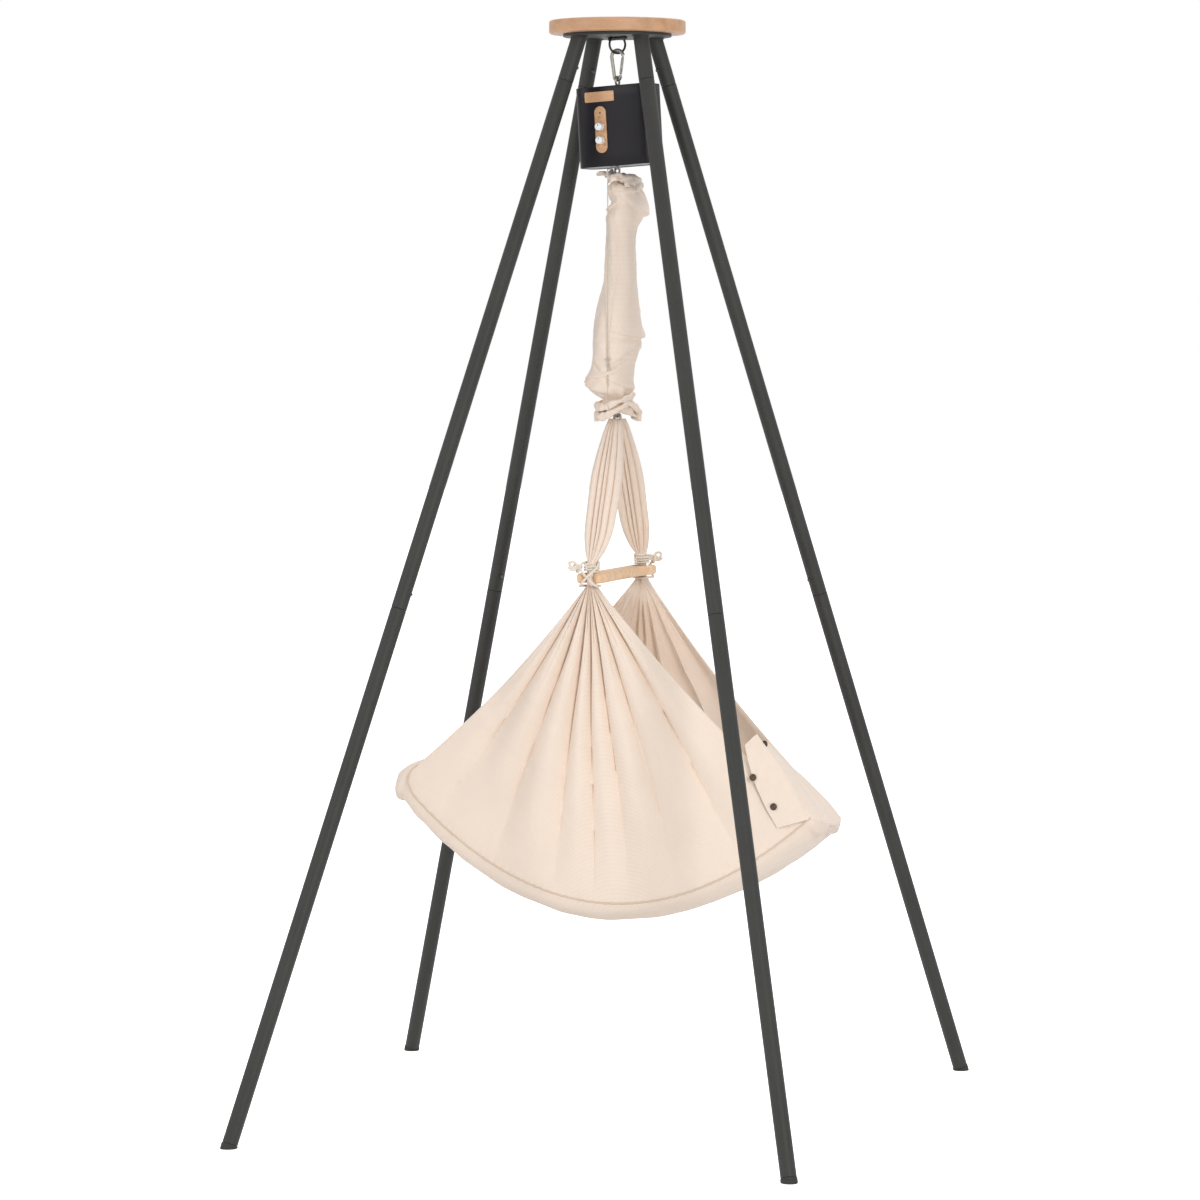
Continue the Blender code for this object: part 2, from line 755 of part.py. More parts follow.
def build_controls(box_frame, shell):
    plate_on_face("name_plate", NAME_PLATE, 0.002, NAME_PLATE_Z, box_frame)
    control_plate = plate_on_face(
        "control_plate", CONTROL_PLATE, CONTROL_PLATE[0] / 2 - 0.0001, CONTROL_PLATE_Z, box_frame
    )
    front = -BOX_DEPTH / 2
    plate_front = front - GAP - CONTROL_PLATE[2]
    board_front = front + BOX_WALL + 0.0100
    holes = {name: (z, KNOB_SHAFT_RADIUS + GAP) for name, z in KNOB_ZS.items()}
    holes["lamp"] = (LAMP_Z, LAMP_RADIUS + GAP)
    for name, (z, radius) in holes.items():
        hole = cylinder(
            f"{name}_hole", radius, 0.02, None, box_frame, into_face(PLATES_X, front, z), sides=16
        )
        make_cutter(hole)
        boolean(control_plate, hole)
        boolean(shell, hole)
    board = box(
        "circuit_board",
        (0.034, 0.0016, 0.090),
        BOARD_GREEN,
        box_frame,
        Matrix.Translation((PLATES_X, board_front + 0.0008, CONTROL_PLATE_Z + 0.002)),
    )
    for name, z in KNOB_ZS.items():
        # The control's body on the board, bored for the knob's shaft
        body = box(
            f"{name}_control",
            (0.011, 0.0102 - GAP, 0.011),
            None,
            box_frame,
            Matrix.Translation((PLATES_X, board_front - 0.0051 + GAP / 2 + 0.0002, z)),
        )
        boolean(board, make_cutter(body), "UNION")
        bore = cylinder(
            f"{name}_bore",
            KNOB_SHAFT_RADIUS + GAP,
            0.012,
            None,
            box_frame,
            into_face(PLATES_X, board_front - 0.0060, z),
            sides=16,
        )
        boolean(board, make_cutter(bore))
        knob_frame = into_face(PLATES_X, plate_front - GAP, z)
        shaft_length = GAP + CONTROL_PLATE[2] + GAP + BOX_WALL + 0.0070
        turned(
            name,
            [
                (0, KNOB_LENGTH),
                (KNOB_RADIUS - 0.0010, KNOB_LENGTH),
                (KNOB_RADIUS, KNOB_LENGTH - 0.0010),
                (KNOB_RADIUS * 1.04, 0),
                (KNOB_SHAFT_RADIUS, 0),
                (KNOB_SHAFT_RADIUS, -shaft_length),
                (0, -shaft_length),
            ],
            WHITE_PLASTIC,
            box_frame,
            knob_frame,
            sides=20,
        )
    # The lamp is soldered to the board and shows through the plate
    lamp_length = board_front - plate_front + 0.0005
    lamp = cylinder(
        "status_lamp",
        LAMP_RADIUS,
        lamp_length,
        None,
        box_frame,
        into_face(PLATES_X, plate_front + lamp_length / 2, LAMP_Z),
        sides=12,
    )
    boolean(board, make_cutter(lamp), "UNION")


def build_eye_and_bracket(box_frame):
    eye_top = HOOK_WIRE + GAP
    eye_middle = eye_top + EYE_WIRE - EYE_RADIUS
    lid_top = BOX_TOP - COVER_RECESS
    flange_top = eye_middle - EYE_RADIUS + EYE_WIRE * 0.6
    stem_bottom = lid_top - COVER_THICKNESS - BRACKET_THICKNESS - 0.0075
    eye = wire(
        "eye_bolt",
        [(0, x, z) for x, _, z in ring_points(EYE_RADIUS, 24)],
        EYE_WIRE,
        STEEL,
        box_frame,
        Matrix.Translation((0, 0, eye_middle)),
        closed=True,
    )
    eye = as_mesh(eye)
    eye.data.materials.append(STEEL)
    flange = cylinder(
        "eye_flange",
        0.0065,
        flange_top - (lid_top + GAP),
        None,
        box_frame,
        Matrix.Translation((0, 0, (flange_top + lid_top + GAP) / 2)),
    )
    stem = cylinder(
        "eye_stem",
        SHAFT_RADIUS,
        flange_top - stem_bottom,
        None,
        box_frame,
        Matrix.Translation((0, 0, (flange_top + stem_bottom) / 2)),
    )
    boolean(eye, make_cutter(flange), "UNION")
    boolean(eye, make_cutter(stem), "UNION")

    flange_z = lid_top - COVER_THICKNESS - GAP - BRACKET_THICKNESS / 2
    plate_y = DRUM_WIDTH / 2 + 0.0012 + BRACKET_THICKNESS / 2
    bracket = box(
        "motor_bracket",
        (BRACKET_WIDTH, 0.034, BRACKET_THICKNESS),
        STEEL,
        box_frame,
        Matrix.Translation((0, plate_y - 0.0165 + BRACKET_THICKNESS / 2, flange_z)),
    )
    web = box(
        "bracket_web",
        (BRACKET_WIDTH, BRACKET_THICKNESS, BRACKET_DROP),
        None,
        box_frame,
        Matrix.Translation(
            (0, plate_y, flange_z + BRACKET_THICKNESS / 2 - BRACKET_DROP / 2)
        ),
    )
    boolean(bracket, make_cutter(web), "UNION")
    stem_hole = cylinder(
        "bracket_stem_hole",
        SHAFT_RADIUS + GAP,
        0.01,
        None,
        box_frame,
        Matrix.Translation((0, 0, flange_z)),
    )
    shaft_hole = cylinder(
        "bracket_shaft_hole",
        SHAFT_RADIUS + 0.001,
        0.01,
        None,
        box_frame,
        into_face(drum_x(), plate_y, DRUM_Z),
    )
    boolean(bracket, make_cutter(stem_hole))
    boolean(bracket, make_cutter(shaft_hole))
    # The nut under the bracket is one piece with the bolt
    nut = cylinder(
        "eye_nut",
        0.0055,
        0.005,
        None,
        box_frame,
        Matrix.Translation((0, 0, flange_z - BRACKET_THICKNESS / 2 - GAP - 0.0025)),
        sides=6,
    )
    boolean(eye, make_cutter(nut), "UNION")
    return plate_y


def drum_x():
    """The drum's middle lies so far to the side that its belt leaves it on the hub axis."""
    return plumb_x(DRUM_Z) + (DRUM_RADIUS + GAP + BELT_THICKNESS / 2) / math.cos(
        math.radians(BOX_LEAN)
    )


def build_drive(box_frame, plate_y):
    middle = into_face(drum_x(), 0, DRUM_Z)
    half = DRUM_WIDTH / 2
    cheek = 0.0009
    bore = SHAFT_RADIUS + GAP
    turned(
        "winding_drum",
        [
            (DRUM_FLANGE_RADIUS, half),
            (DRUM_FLANGE_RADIUS, half - cheek),
            (DRUM_RADIUS, half - cheek),
            (DRUM_RADIUS, -half + cheek),
            (DRUM_FLANGE_RADIUS, -half + cheek),
            (DRUM_FLANGE_RADIUS, -half),
            (bore, -half),
            (bore, half),
        ],
        PLASTIC,
        box_frame,
        middle,
    )
    gearbox_front = plate_y + BRACKET_THICKNESS / 2 + GAP
    gearbox_depth = BOX_DEPTH / 2 - BOX_WALL - GAP - gearbox_front
    gearbox_middle = gearbox_front + gearbox_depth / 2
    gear_motor = box(
        "gear_motor",
        (0.034, gearbox_depth, 0.046),
        STEEL,
        box_frame,
        Matrix.Translation((drum_x(), gearbox_middle, DRUM_Z - 0.006)),
    )
    can = cylinder(
        "motor_can",
        0.0105,
        0.036,
        None,
        box_frame,
        Matrix.Translation((drum_x() + 0.017 + 0.017, gearbox_middle, DRUM_Z - 0.016))
        @ Matrix.Rotation(math.pi / 2, 4, "Y"),
    )
    shaft = cylinder(
        "motor_shaft",
        SHAFT_RADIUS,
        gearbox_front + half + 0.0015,
        None,
        box_frame,
        into_face(drum_x(), (gearbox_front - half - 0.0015) / 2 + 0.0005, DRUM_Z),
    )
    boolean(gear_motor, make_cutter(can), "UNION")
    boolean(gear_motor, make_cutter(shaft), "UNION")
    inlet_place = into_face(0.040, BOX_DEPTH / 2, BOX_TOP - BOX_HEIGHT + 0.022) @ Matrix.Rotation(
        math.pi, 4, "X"
    )
    turned(
        "power_inlet",
        [
            (0.0060, 0.0018),
            (0.0060, GAP),
            (0.0042, GAP),
            (0.0042, -0.0100),
            (0.0026, -0.0100),
            (0.0026, 0.0018),
        ],
        PLASTIC,
        box_frame,
        inlet_place,
    )
    inlet_hole = cylinder(
        "inlet_hole", 0.0042 + GAP, 0.02, None, box_frame, inlet_place, sides=24
    )
    boolean(bpy.data.objects["motor_housing"], make_cutter(inlet_hole))


def build_motor_box():
    place = turned_to(BOX_YAW, HOOK_BOTTOM_Z) @ Matrix.Rotation(math.radians(BOX_LEAN), 4, "Y")
    box_frame = make_empty("motor_box_frame", HUB_AXIS, place)
    shell = build_box_shell(box_frame)
    build_controls(box_frame, shell)
    plate_y = build_eye_and_bracket(box_frame)
    build_drive(box_frame, plate_y)
    return box_frame


# Belt, lift hook, spring, sleeve and safety cord


def build_lift():
    lift_frame = make_empty("lift_frame", HUB_AXIS, turned_to(BOX_YAW))
    drum_height = HOOK_BOTTOM_Z + DRUM_Z * math.cos(math.radians(BOX_LEAN)) + drum_x() * math.sin(
        math.radians(BOX_LEAN) * -1
    )
    belt_radius = DRUM_RADIUS + GAP + BELT_THICKNESS / 2
    # The belt wraps three quarters of the drum and then drops straight down the hub axis
    path = []
    for step in range(15):
        angle = math.radians(-100 + 280 * step / 14)
        path.append(
            (belt_radius + belt_radius * math.cos(angle), drum_height + belt_radius * math.sin(angle))
        )
    path.append((0, LIFT_HOOK_TOP + GAP))
    rows = []
    for number, (x, z) in enumerate(path):
        before = Vector(path[max(number - 1, 0)])
        after = Vector(path[min(number + 1, len(path) - 1)])
        along = (after - before).normalized()
        across = Vector((along.y, -along.x)) * BELT_THICKNESS / 2
        half = BELT_WIDTH / 2
        rows.append(
            [
                (x - across.x, -half, z - across.y),
                (x + across.x, -half, z + across.y),
                (x + across.x, half, z + across.y),
                (x - across.x, half, z - across.y),
            ]
        )
    loft("lift_belt", rows, WEBBING, lift_frame, smooth_angle=40)
    width, thickness, height = LIFT_HOOK_SIZE
    hook_middle = LIFT_HOOK_TOP - height / 2
    lift_hook = box(
        "lift_hook",
        (width, thickness, height),
        STEEL,
        lift_frame,
        Matrix.Translation((0, 0, hook_middle)),
        edge=0.0006,
    )
    spring_hole_z = LIFT_HOOK_TOP - height + 0.0065
    for name, z in (("belt_eye", LIFT_HOOK_TOP - 0.0050), ("spring_eye", spring_hole_z)):
        eye = cylinder(
            name, LIFT_EYE_RADIUS, 0.02, None, lift_frame, into_face(0, 0, z), sides=16
        )
        boolean(lift_hook, make_cutter(eye))
    return lift_frame, spring_hole_z


def spring_points(loop_top):
    """The spring's wire: a loop in the lift hook, the coils, and a loop at the bottom for the ring."""
    points = []
    top_middle = loop_top - SPRING_LOOP_RADIUS
    for step in range(13):
        angle = math.radians(225 - 315 * step / 12)
        points.append(
            (0, SPRING_LOOP_RADIUS * math.cos(angle), top_middle + SPRING_LOOP_RADIUS * math.sin(angle))
        )
    neck_top = top_middle - SPRING_LOOP_RADIUS - 0.006
    points.append((0, 0, neck_top))
    points.append((0, 0, SPRING_COIL_TOP + 0.008))
    coil_steps = 8
    total = SPRING_TURNS * coil_steps
    for step in range(total + 1):
        share = step / total
        # The first and last half turns grow out of the middle line
        grow = min(1.0, step / (coil_steps / 2), (total - step) / (coil_steps / 2))
        radius = SPRING_RADIUS * math.sin(grow * math.pi / 2)
        angle = 2 * math.pi * step / coil_steps
        height = SPRING_COIL_TOP + (SPRING_COIL_BOTTOM - SPRING_COIL_TOP) * share
        points.append((radius * math.cos(angle), radius * math.sin(angle), height))
    bottom_middle = SPRING_LOOP_BOTTOM + SPRING_LOOP_RADIUS
    points.append((0, 0, SPRING_COIL_BOTTOM - 0.008))
    points.append((0, 0, bottom_middle + SPRING_LOOP_RADIUS + 0.005))
    for step in range(13):
        angle = math.radians(90 - 315 * step / 12)
        points.append(
            (
                0,
                SPRING_LOOP_RADIUS * math.cos(angle),
                bottom_middle + SPRING_LOOP_RADIUS * math.sin(angle),
            )
        )
    return points


def print_least_gap(name, points, radius):
    """Prints the least gap between stretches of one wire that are over three diameters apart along it."""
    places = np.array(points)
    run = np.concatenate([[0], np.cumsum(np.linalg.norm(np.diff(places, axis=0), axis=1))])
    apart = np.linalg.norm(places[:, None] - places[None], axis=2)
    far = np.abs(run[:, None] - run[None]) > 6 * radius * 2
    print(f"{name}: least gap to itself {1000 * (apart[far].min() - 2 * radius):.2f} mm")


# The sleeve's outline as the photograph shows it: depth below the stand's top, middle and half width across the
# view, and fold depth
SLEEVE_DROPS = [
    (0.2705, 0.0090, 0.0340, 0.12),
    (0.2790, 0.0040, 0.0200, 0.10),
    (0.2850, 0.0000, 0.0101, 0.00),
    (0.2900, 0.0000, 0.0101, 0.00),
    (0.2970, 0.0120, 0.0290, 0.10),
    (0.3060, 0.0125, 0.0300, 0.08),
    (0.3300, 0.0220, 0.0310, 0.06),
    (0.3540, 0.0140, 0.0340, 0.05),
    (0.3900, 0.0068, 0.0275, 0.04),
    (0.4700, 0.0060, 0.0290, 0.03),
    (0.5200, 0.0020, 0.0380, 0.05),
    (0.5800, 0.0000, 0.0440, 0.05),
    (0.6250, -0.0080, 0.0400, 0.08),
    (0.6600, -0.0120, 0.0400, 0.10),
    (0.6850, -0.0010, 0.0370, 0.12),
    (0.7140, 0.0000, 0.0390, 0.12),
]
SLEEVE_OUTLINE = [(STAND_HEIGHT - drop, *shape) for drop, *shape in SLEEVE_DROPS]
VIEW_ACROSS = 18.0
# Where the sleeve's folds stand round it, in radians
SLEEVE_TWIST = 79.6


def sleeve_ring(z, inset, count=14):
    """One level of the sleeve: a circle with soft folds, pushed across the view as in the photograph."""
    middle, half, fold = between(SLEEVE_OUTLINE, z)
    across = heading(VIEW_ACROSS)
    points = []
    for step in range(count):
        angle = 2 * math.pi * step / count
        turn = 5 * angle + 40 * (z - STAND_HEIGHT) + SLEEVE_TWIST
        radius = (half - inset) * (1 - fold / 2 + fold / 2 * math.cos(turn))
        points.append(
            (
                across.x * middle + radius * math.cos(angle),
                across.y * middle + radius * math.sin(angle),
                z,
            )
        )
    return points


def build_sleeve(parent):
    """The sleeve is one loop of cloth: its outer wall runs down and its inner wall runs back up."""
    levels = [row[0] for row in SLEEVE_OUTLINE]
    outer = [sleeve_ring(z, 0.0) for z in levels]
    inner = [sleeve_ring(z, SLEEVE_WALL) for z in levels]
    bm = bmesh.new()
    rings = [[bm.verts.new(point) for point in ring] for ring in outer + inner[::-1]]
    count = len(rings[0])
    for low, high in zip(rings, rings[1:] + rings[:1]):
        for step in range(count):
            after = (step + 1) % count
            bm.faces.new((low[step], low[after], high[after], high[step]))
    return add_object("spring_sleeve", mesh_from(bm, "spring_sleeve", 60), COTTON, parent)


def cord_points():
    """The safety cord: from the lift hook over the sleeve's rim, down its front and in to the lower hook."""
    across = heading(VIEW_ACROSS)
    towards = heading(VIEW_ACROSS - 90)
    x = -0.0175
    top = LIFT_HOOK_TOP - 0.0020
    places = [
        across * -0.0078 + UP * top,
        across * -0.0120 + towards * 0.0100 + UP * top,
        across * x + towards * 0.0240 + UP * top,
        across * x + towards * 0.0290 + UP * (top - 0.0040),
    ]
    collar = LIFT_HOOK_TOP - 0.0185
    for z in np.linspace(collar, collar - 0.4050, 11):
        middle, half, _ = between(SLEEVE_OUTLINE, z)
        reach = max(half + GAP, abs(x - middle) + 0.002)
        depth = math.sqrt(reach**2 - (x - middle) ** 2) + CORD_RADIUS + GAP
        if z > collar - 0.3050:
            # Between the rim and the sleeve's widest part the cord is drawn straight
            depth = max(depth, 0.030 + 0.0152 * (collar - z) / 0.305)
        places.append(across * x + towards * depth + UP * z)
    end_z = LOWER_HOOK_BOTTOM_Z + 0.0022
    places.append(across * x + towards * 0.0415 + UP * (end_z + 0.0030))
    places.append(across * x + towards * 0.0380 + UP * end_z)
    rise = LOWER_HOOK_BOTTOM_Z + LOWER_HOOK_BOTTOM_RADIUS - end_z
    hook_front = math.sqrt((LOWER_HOOK_BOTTOM_RADIUS + LOWER_HOOK_WIRE) ** 2 - rise**2)
    places.append(Vector((-0.0010, -hook_front - CORD_RADIUS - 2 * GAP, end_z)))
    return places


def build_spring_parts(lift_frame, spring_hole_z):
    points = spring_points(spring_hole_z - LIFT_EYE_RADIUS + SPRING_WIRE + 2 * GAP)
    print_least_gap("main_spring", points, SPRING_WIRE)
    wire("main_spring", points, SPRING_WIRE, STEEL, lift_frame, resolution=1)
    build_sleeve(HUB_AXIS)
    wire("safety_cord", cord_points(), CORD_RADIUS, CORD, HUB_AXIS, resolution=1)
    wire(
        "lower_ring",
        ring_points(LOWER_RING_RADIUS, 18),
        LOWER_RING_WIRE,
        STEEL,
        HUB_AXIS,
        Matrix.Translation((0, 0, LOWER_RING_TOP_Z - LOWER_RING_RADIUS)),
        closed=True,
    )
    snap_hook(
        "lower_snap_hook",
        "lower_hook_gate",
        (LOWER_HOOK_TOP_RADIUS, LOWER_HOOK_BOTTOM_RADIUS, LOWER_HOOK_CENTRES),
        LOWER_HOOK_WIRE,
        LOWER_GATE_WIRE,
        LOWER_HOOK_BOTTOM_Z,
        LOWER_HOOK_DIRECTION,
        1,
    )


# Hammock


def bed_z(x):
    """Height of the bed's side seam above the floor."""
    return SEAM_LOW_Z + BED_CURVE * (x - BED_SHIFT) ** 2


def build_bar(parent):
    """The spreader bar: a flat stick along Y with a slot in each end for the gathered cloth."""
    half = BAR_LENGTH / 2
    prong = (BAR_WIDTH - FORK_GAP) / 2
    slot_end = half - FORK_DEPTH
    round_steps = 6
    quarter = []
    # One quarter of the outline, from the waist on +X round the prong to the slot's end on the middle line
    quarter.append((BAR_WAIST / 2, 0.0))
    quarter.append((BAR_WAIST / 2, slot_end * 0.55))
    quarter.append((BAR_WIDTH / 2, slot_end))
    for step in range(round_steps + 1):
        angle = math.pi * step / round_steps
        middle_x = FORK_GAP / 2 + prong / 2
        quarter.append(
            (
                middle_x + prong / 2 * math.cos(angle),
                half - prong / 2 + prong / 2 * math.sin(angle),
            )
        )
    for step in range(round_steps // 2 + 1):
        angle = math.pi / 2 * step / (round_steps // 2)
        quarter.append(
            (
                FORK_GAP / 2 * math.cos(angle),
                slot_end + FORK_GAP / 2 - FORK_GAP / 2 * math.sin(angle),
            )
        )
    back = [(-x, y) for x, y in reversed(quarter[:-1])]
    front_left = [(-x, -y) for x, y in quarter[1:]]
    front_right = [(x, -y) for x, y in reversed(quarter[1:-1])]
    outline = [Vector(point) for point in quarter + back + front_left + front_right]
    outward = []
    for number, point in enumerate(outline):
        before = (point - outline[number - 1]).normalized()
        after = (outline[(number + 1) % len(outline)] - point).normalized()
        along = (before + after).normalized()
        outward.append(Vector((along.y, -along.x)))
    rows = []
    for side in (-1, 1):
        for turn in (0, 45, 90)[::-side]:
            inset = BAR_EDGE * (1 - math.sin(math.radians(turn)))
            rise = BAR_THICKNESS / 2 - BAR_EDGE * (1 - math.cos(math.radians(turn)))
            edge = [point - out * inset for point, out in zip(outline, outward)]
            rows.append([(point.x, point.y, BAR_HEIGHT + side * rise) for point in edge])
    return loft("spreader_bar", rows, BEECH, parent, smooth_angle=50)


# Each level of a side panel: height, half width along X, distance from the hub axis along Y, half thickness, fold depth
def panel_levels():
    """The straps spread from the webbing loop to the bar's slots, whatever the bar's length is."""
    spread = GATHER_Y / 0.150
    return [
        (STRAP_TOP_Z, 0.0085, STRAP_TOP_Y, STRAP_TOP_HALF, 0.0),
        (BAR_HEIGHT + 0.2450, 0.0200, 0.0300 * spread, 0.0045, 0.0016),
        (BAR_HEIGHT + 0.1910, 0.0290, 0.0560 * spread, 0.0035, 0.0026),
        (BAR_HEIGHT + 0.1250, 0.0290, 0.0880 * spread, 0.0030, 0.0028),
        (BAR_HEIGHT + 0.0670, 0.0250, 0.1180 * spread, 0.0035, 0.0024),
        (BAR_HEIGHT + 0.0300, 0.0110, 0.1420 * spread, 0.0080, 0.0010),
        (BAR_HEIGHT + 0.0140, GATHER_HALF_WIDTH, GATHER_Y, GATHER_HALF_DEPTH, 0.0),
        (PANEL_TOP, GATHER_HALF_WIDTH, GATHER_Y, GATHER_HALF_DEPTH, 0.0),
    ]


PANEL_COLUMNS = 20
PANEL_PLEATS = 5


def fold_wave(share):
    """Height of the pleats across the cloth, between -1 and 1: sharp ridges and wide valleys."""
    wave = math.cos(2 * math.pi * PANEL_PLEATS * share)
    return wave + 0.35 * math.cos(4 * math.pi * PANEL_PLEATS * share + 0.8)


def seam_y(share):
    """How far from the hub axis the seam runs, narrower at the bed's ends. share runs from 0 to 1 along the bed."""
    return SEAM_HALF_WIDTH - 0.022 * abs(2 * share - 1) ** 3


def panel_rows(side):
    """Closed loops of points down one side panel. side is -1 for the front panel and 1 for the back one."""
    rows = []
    shares = [step / PANEL_COLUMNS for step in range(PANEL_COLUMNS + 1)]
    for z, half_x, y, half_y, fold in panel_levels():
        outer = []
        inner = []
        for share in shares:
            x = half_x * (2 * share - 1)
            edge = math.sqrt(max(0.0, 1 - (2 * share - 1) ** 2))
            bulk = half_y * (0.35 + 0.65 * edge)
            middle = y + fold * fold_wave(share)
            outer.append((x, side * (middle + bulk), z))
            inner.append((x, side * (middle - bulk), z))
        rows.append(outer + inner[::-1])
    # Below the gather the cloth spreads to the bed's seam, along straight lines from the gather
    for down in (0.05, 0.12, 0.22, 0.34, 0.48, 0.64, 0.82, 1.0):
        outer = []
        inner = []
        for share in shares:
            seam_x = bed_x(BED_ROWS * share, side)
            seam_z = bed_z(seam_x)
            top_x = GATHER_HALF_WIDTH * (2 * share - 1)
            x = top_x + (seam_x - top_x) * down
            z = PANEL_TOP + (seam_z - PANEL_TOP) * down
            spread = 1 - (1 - down) ** 1.6
            y = GATHER_Y + (seam_y(share) - GATHER_Y) * spread
            ends = abs(2 * share - 1) ** 4
            fold = 0.0095 * math.sin(math.pi * min(1.0, down * 1.25)) * (1 - down) ** 0.3 * (1 - ends)
            half = CLOTH / 2 + (GATHER_HALF_DEPTH * 0.7 - CLOTH / 2) * (1 - down) ** 9
            middle = y + fold * fold_wave(share) * 0.5
            outer.append((x, side * (middle + half), z))
            inner.append((x, side * (middle - half), z))
        rows.append(outer + inner[::-1])
    return rows


def build_panels(parent):
    loft("front_panel", panel_rows(-1), COTTON, parent)
    loft("back_panel", panel_rows(1), COTTON, parent)


# The bed has the panels' stations along it, and these places across it as shares of its half width
BED_ROWS = PANEL_COLUMNS
BED_ACROSS = [-1, -0.88, -0.65, -0.33, 0, 0.33, 0.65, 0.88, 1]


def bed_x(row, u=0.0):
    """Where a row lies along the bed. The right end runs askew, so it is further out at the front (u = -1)."""
    return BED_LEFT + (BED_RIGHT - BED_SKEW * u - BED_LEFT) * row / BED_ROWS


def pocket_point(row, u, inner):
    """A point on the pocket's outer or inner face."""
    share = row / BED_ROWS
    width = seam_y(share) + CLOTH / 2
    sag = POCKET_SAG * (1 - 0.05 * (2 * share - 1) ** 2)
    if inner:
        width -= CLOTH
        sag -= CLOTH
    x = bed_x(row, u)
    return Vector((x, u * width, bed_z(x) - GAP - sag * (1 - u**6)))


def build_pocket_and_mattress(parent):
    """The pocket is a sagging trough of cloth from seam to seam, and the mattress lies in it."""
    pocket_rows = []
    for row in range(BED_ROWS + 1):
        lower = [pocket_point(row, u, False) for u in BED_ACROSS]
        upper = [pocket_point(row, u, True) for u in BED_ACROSS]
        pocket_rows.append(lower + upper[::-1])
    loft("mattress_pocket", pocket_rows, COTTON, parent)
    mattress_rows = []
    inside = [u for u in BED_ACROSS if abs(u) < 0.95]
    first_row, last_row = MATTRESS_ROWS
    for row in range(first_row, last_row + 1):
        end = abs(2 * (row - first_row) / (last_row - first_row) - 1)
        thick = MATTRESS_THICKNESS * (1 - 0.45 * end**6)
        lower = [pocket_point(row, u, True) + UP * 2 * GAP for u in inside]
        upper = []
        for u in inside:
            point = pocket_point(row, u, True) + UP * (2 * GAP + thick * (1 - 0.45 * u**6))
            point.y *= 0.985
            upper.append(point)
        mattress_rows.append(lower + upper[::-1])
    loft("mattress", mattress_rows, COTTON, parent)


def flap_foot(row):
    """Where a flap stands on the pocket's inner face, at a row that may lie between two stations."""
    low_row, high_row = math.floor(row), math.ceil(row)
    foot = []
    for u in BED_ACROSS[1:-1]:
        low = pocket_point(low_row, u, True)
        high = pocket_point(high_row, u, True)
        foot.append(low.lerp(high, row - low_row) + UP * 2 * GAP)
    return foot


def build_flaps(parent):
    """A wall of cloth stands up at each end of the bed and leans in between the two side panels."""
    half_cloth_rows = CLOTH / 2 / (bed_x(1) - bed_x(0))
    for name, row, sign, height in (
        ("buttoned_end_flap", BED_ROWS - 0.3, 1, BUTTONED_FLAP_HEIGHT),
        ("plain_end_flap", 0.3, -1, PLAIN_FLAP_HEIGHT),
    ):
        rim = bed_z(bed_x(row))
        faces = [flap_foot(row + half_cloth_rows), flap_foot(row - half_cloth_rows)]
        rows = []
        for rise in (0, 0.25, 0.5, 0.75, 1):
            walls = []
            for foot in faces:
                wall = []
                for point in foot:
                    z = point.z + (rim + height - point.z) * rise
                    x = point.x - sign * FLAP_SLOPE * max(0.0, z - rim)
                    wall.append((x, point.y * (1 - 0.14 * rise), z))
                walls.append(wall)
            rows.append(walls[0] + walls[1][::-1])
        loft(name, rows, COTTON, parent)


def build_ties(parent):
    """A cord wound round the gathered cloth on top of each end of the bar."""
    for name, side in (("front_tie", -1), ("back_tie", 1)):
        start = BAR_HEIGHT + BAR_THICKNESS / 2 + TIE_WIRE + GAP
        steps = 10 * TIE_TURNS
        points = []
        for step in range(steps + 1):
            angle = 2 * math.pi * step / 10 + math.pi / 2 * side
            height = start + (2 * TIE_WIRE + 0.0006) * step / 10
            level = between(panel_levels(), height, smooth=False)
            reach_x = level[0] + level[3] + TIE_WIRE + 6 * GAP
            reach_y = level[2] + level[3] + TIE_WIRE + 6 * GAP
            points.append(
                (
                    reach_x * math.cos(angle),
                    side * level[1] + reach_y * math.sin(angle),
                    height,
                )
            )
        wire(name, points, TIE_WIRE, ROPE, parent)


def build_webbing_loop(parent):
    """A band over the lower hook's wire. Its two ends hang between the tops of the straps, which are sewn to them."""
    half_width = STRAP_TOP_Y - STRAP_TOP_HALF - GAP
    half_thick = LOOP_BAND_THICKNESS / 2
    bottom = STRAP_TOP_Z - 0.010
    path = [(LOOP_BAND_RADIUS, bottom)]
    for step in range(9):
        angle = math.pi * step / 8
        path.append(
            (
                LOOP_BAND_RADIUS * math.cos(angle),
                LOWER_HOOK_BOTTOM_Z + LOOP_BAND_RADIUS * math.sin(angle),
            )
        )
    path.append((-LOOP_BAND_RADIUS, bottom))
    rows = []
    for number, (x, z) in enumerate(path):
        before = Vector(path[max(number - 1, 0)])
        after = Vector(path[min(number + 1, len(path) - 1)])
        along = (after - before).normalized()
        out = Vector((along.y, -along.x)) * half_thick
        rows.append(
            [
                (x - out.x, -half_width, z - out.y),
                (x + out.x, -half_width, z + out.y),
                (x + out.x, half_width, z + out.y),
                (x - out.x, half_width, z - out.y),
            ]
        )
    loft("webbing_loop", rows, WEBBING, parent, smooth_angle=40)


def build_hammock():
    hammock_frame = make_empty(
        "hammock_frame", HUB_AXIS, Matrix.Translation((0, 0, LOWER_HOOK_BOTTOM_Z))
    )
    parent = make_empty(
        "hammock_floor", hammock_frame, Matrix.Translation((0, 0, -LOWER_HOOK_BOTTOM_Z))
    )
    build_webbing_loop(parent)
    build_bar(parent)
    build_ties(parent)
    build_panels(parent)
    build_pocket_and_mattress(parent)
    build_flaps(parent)


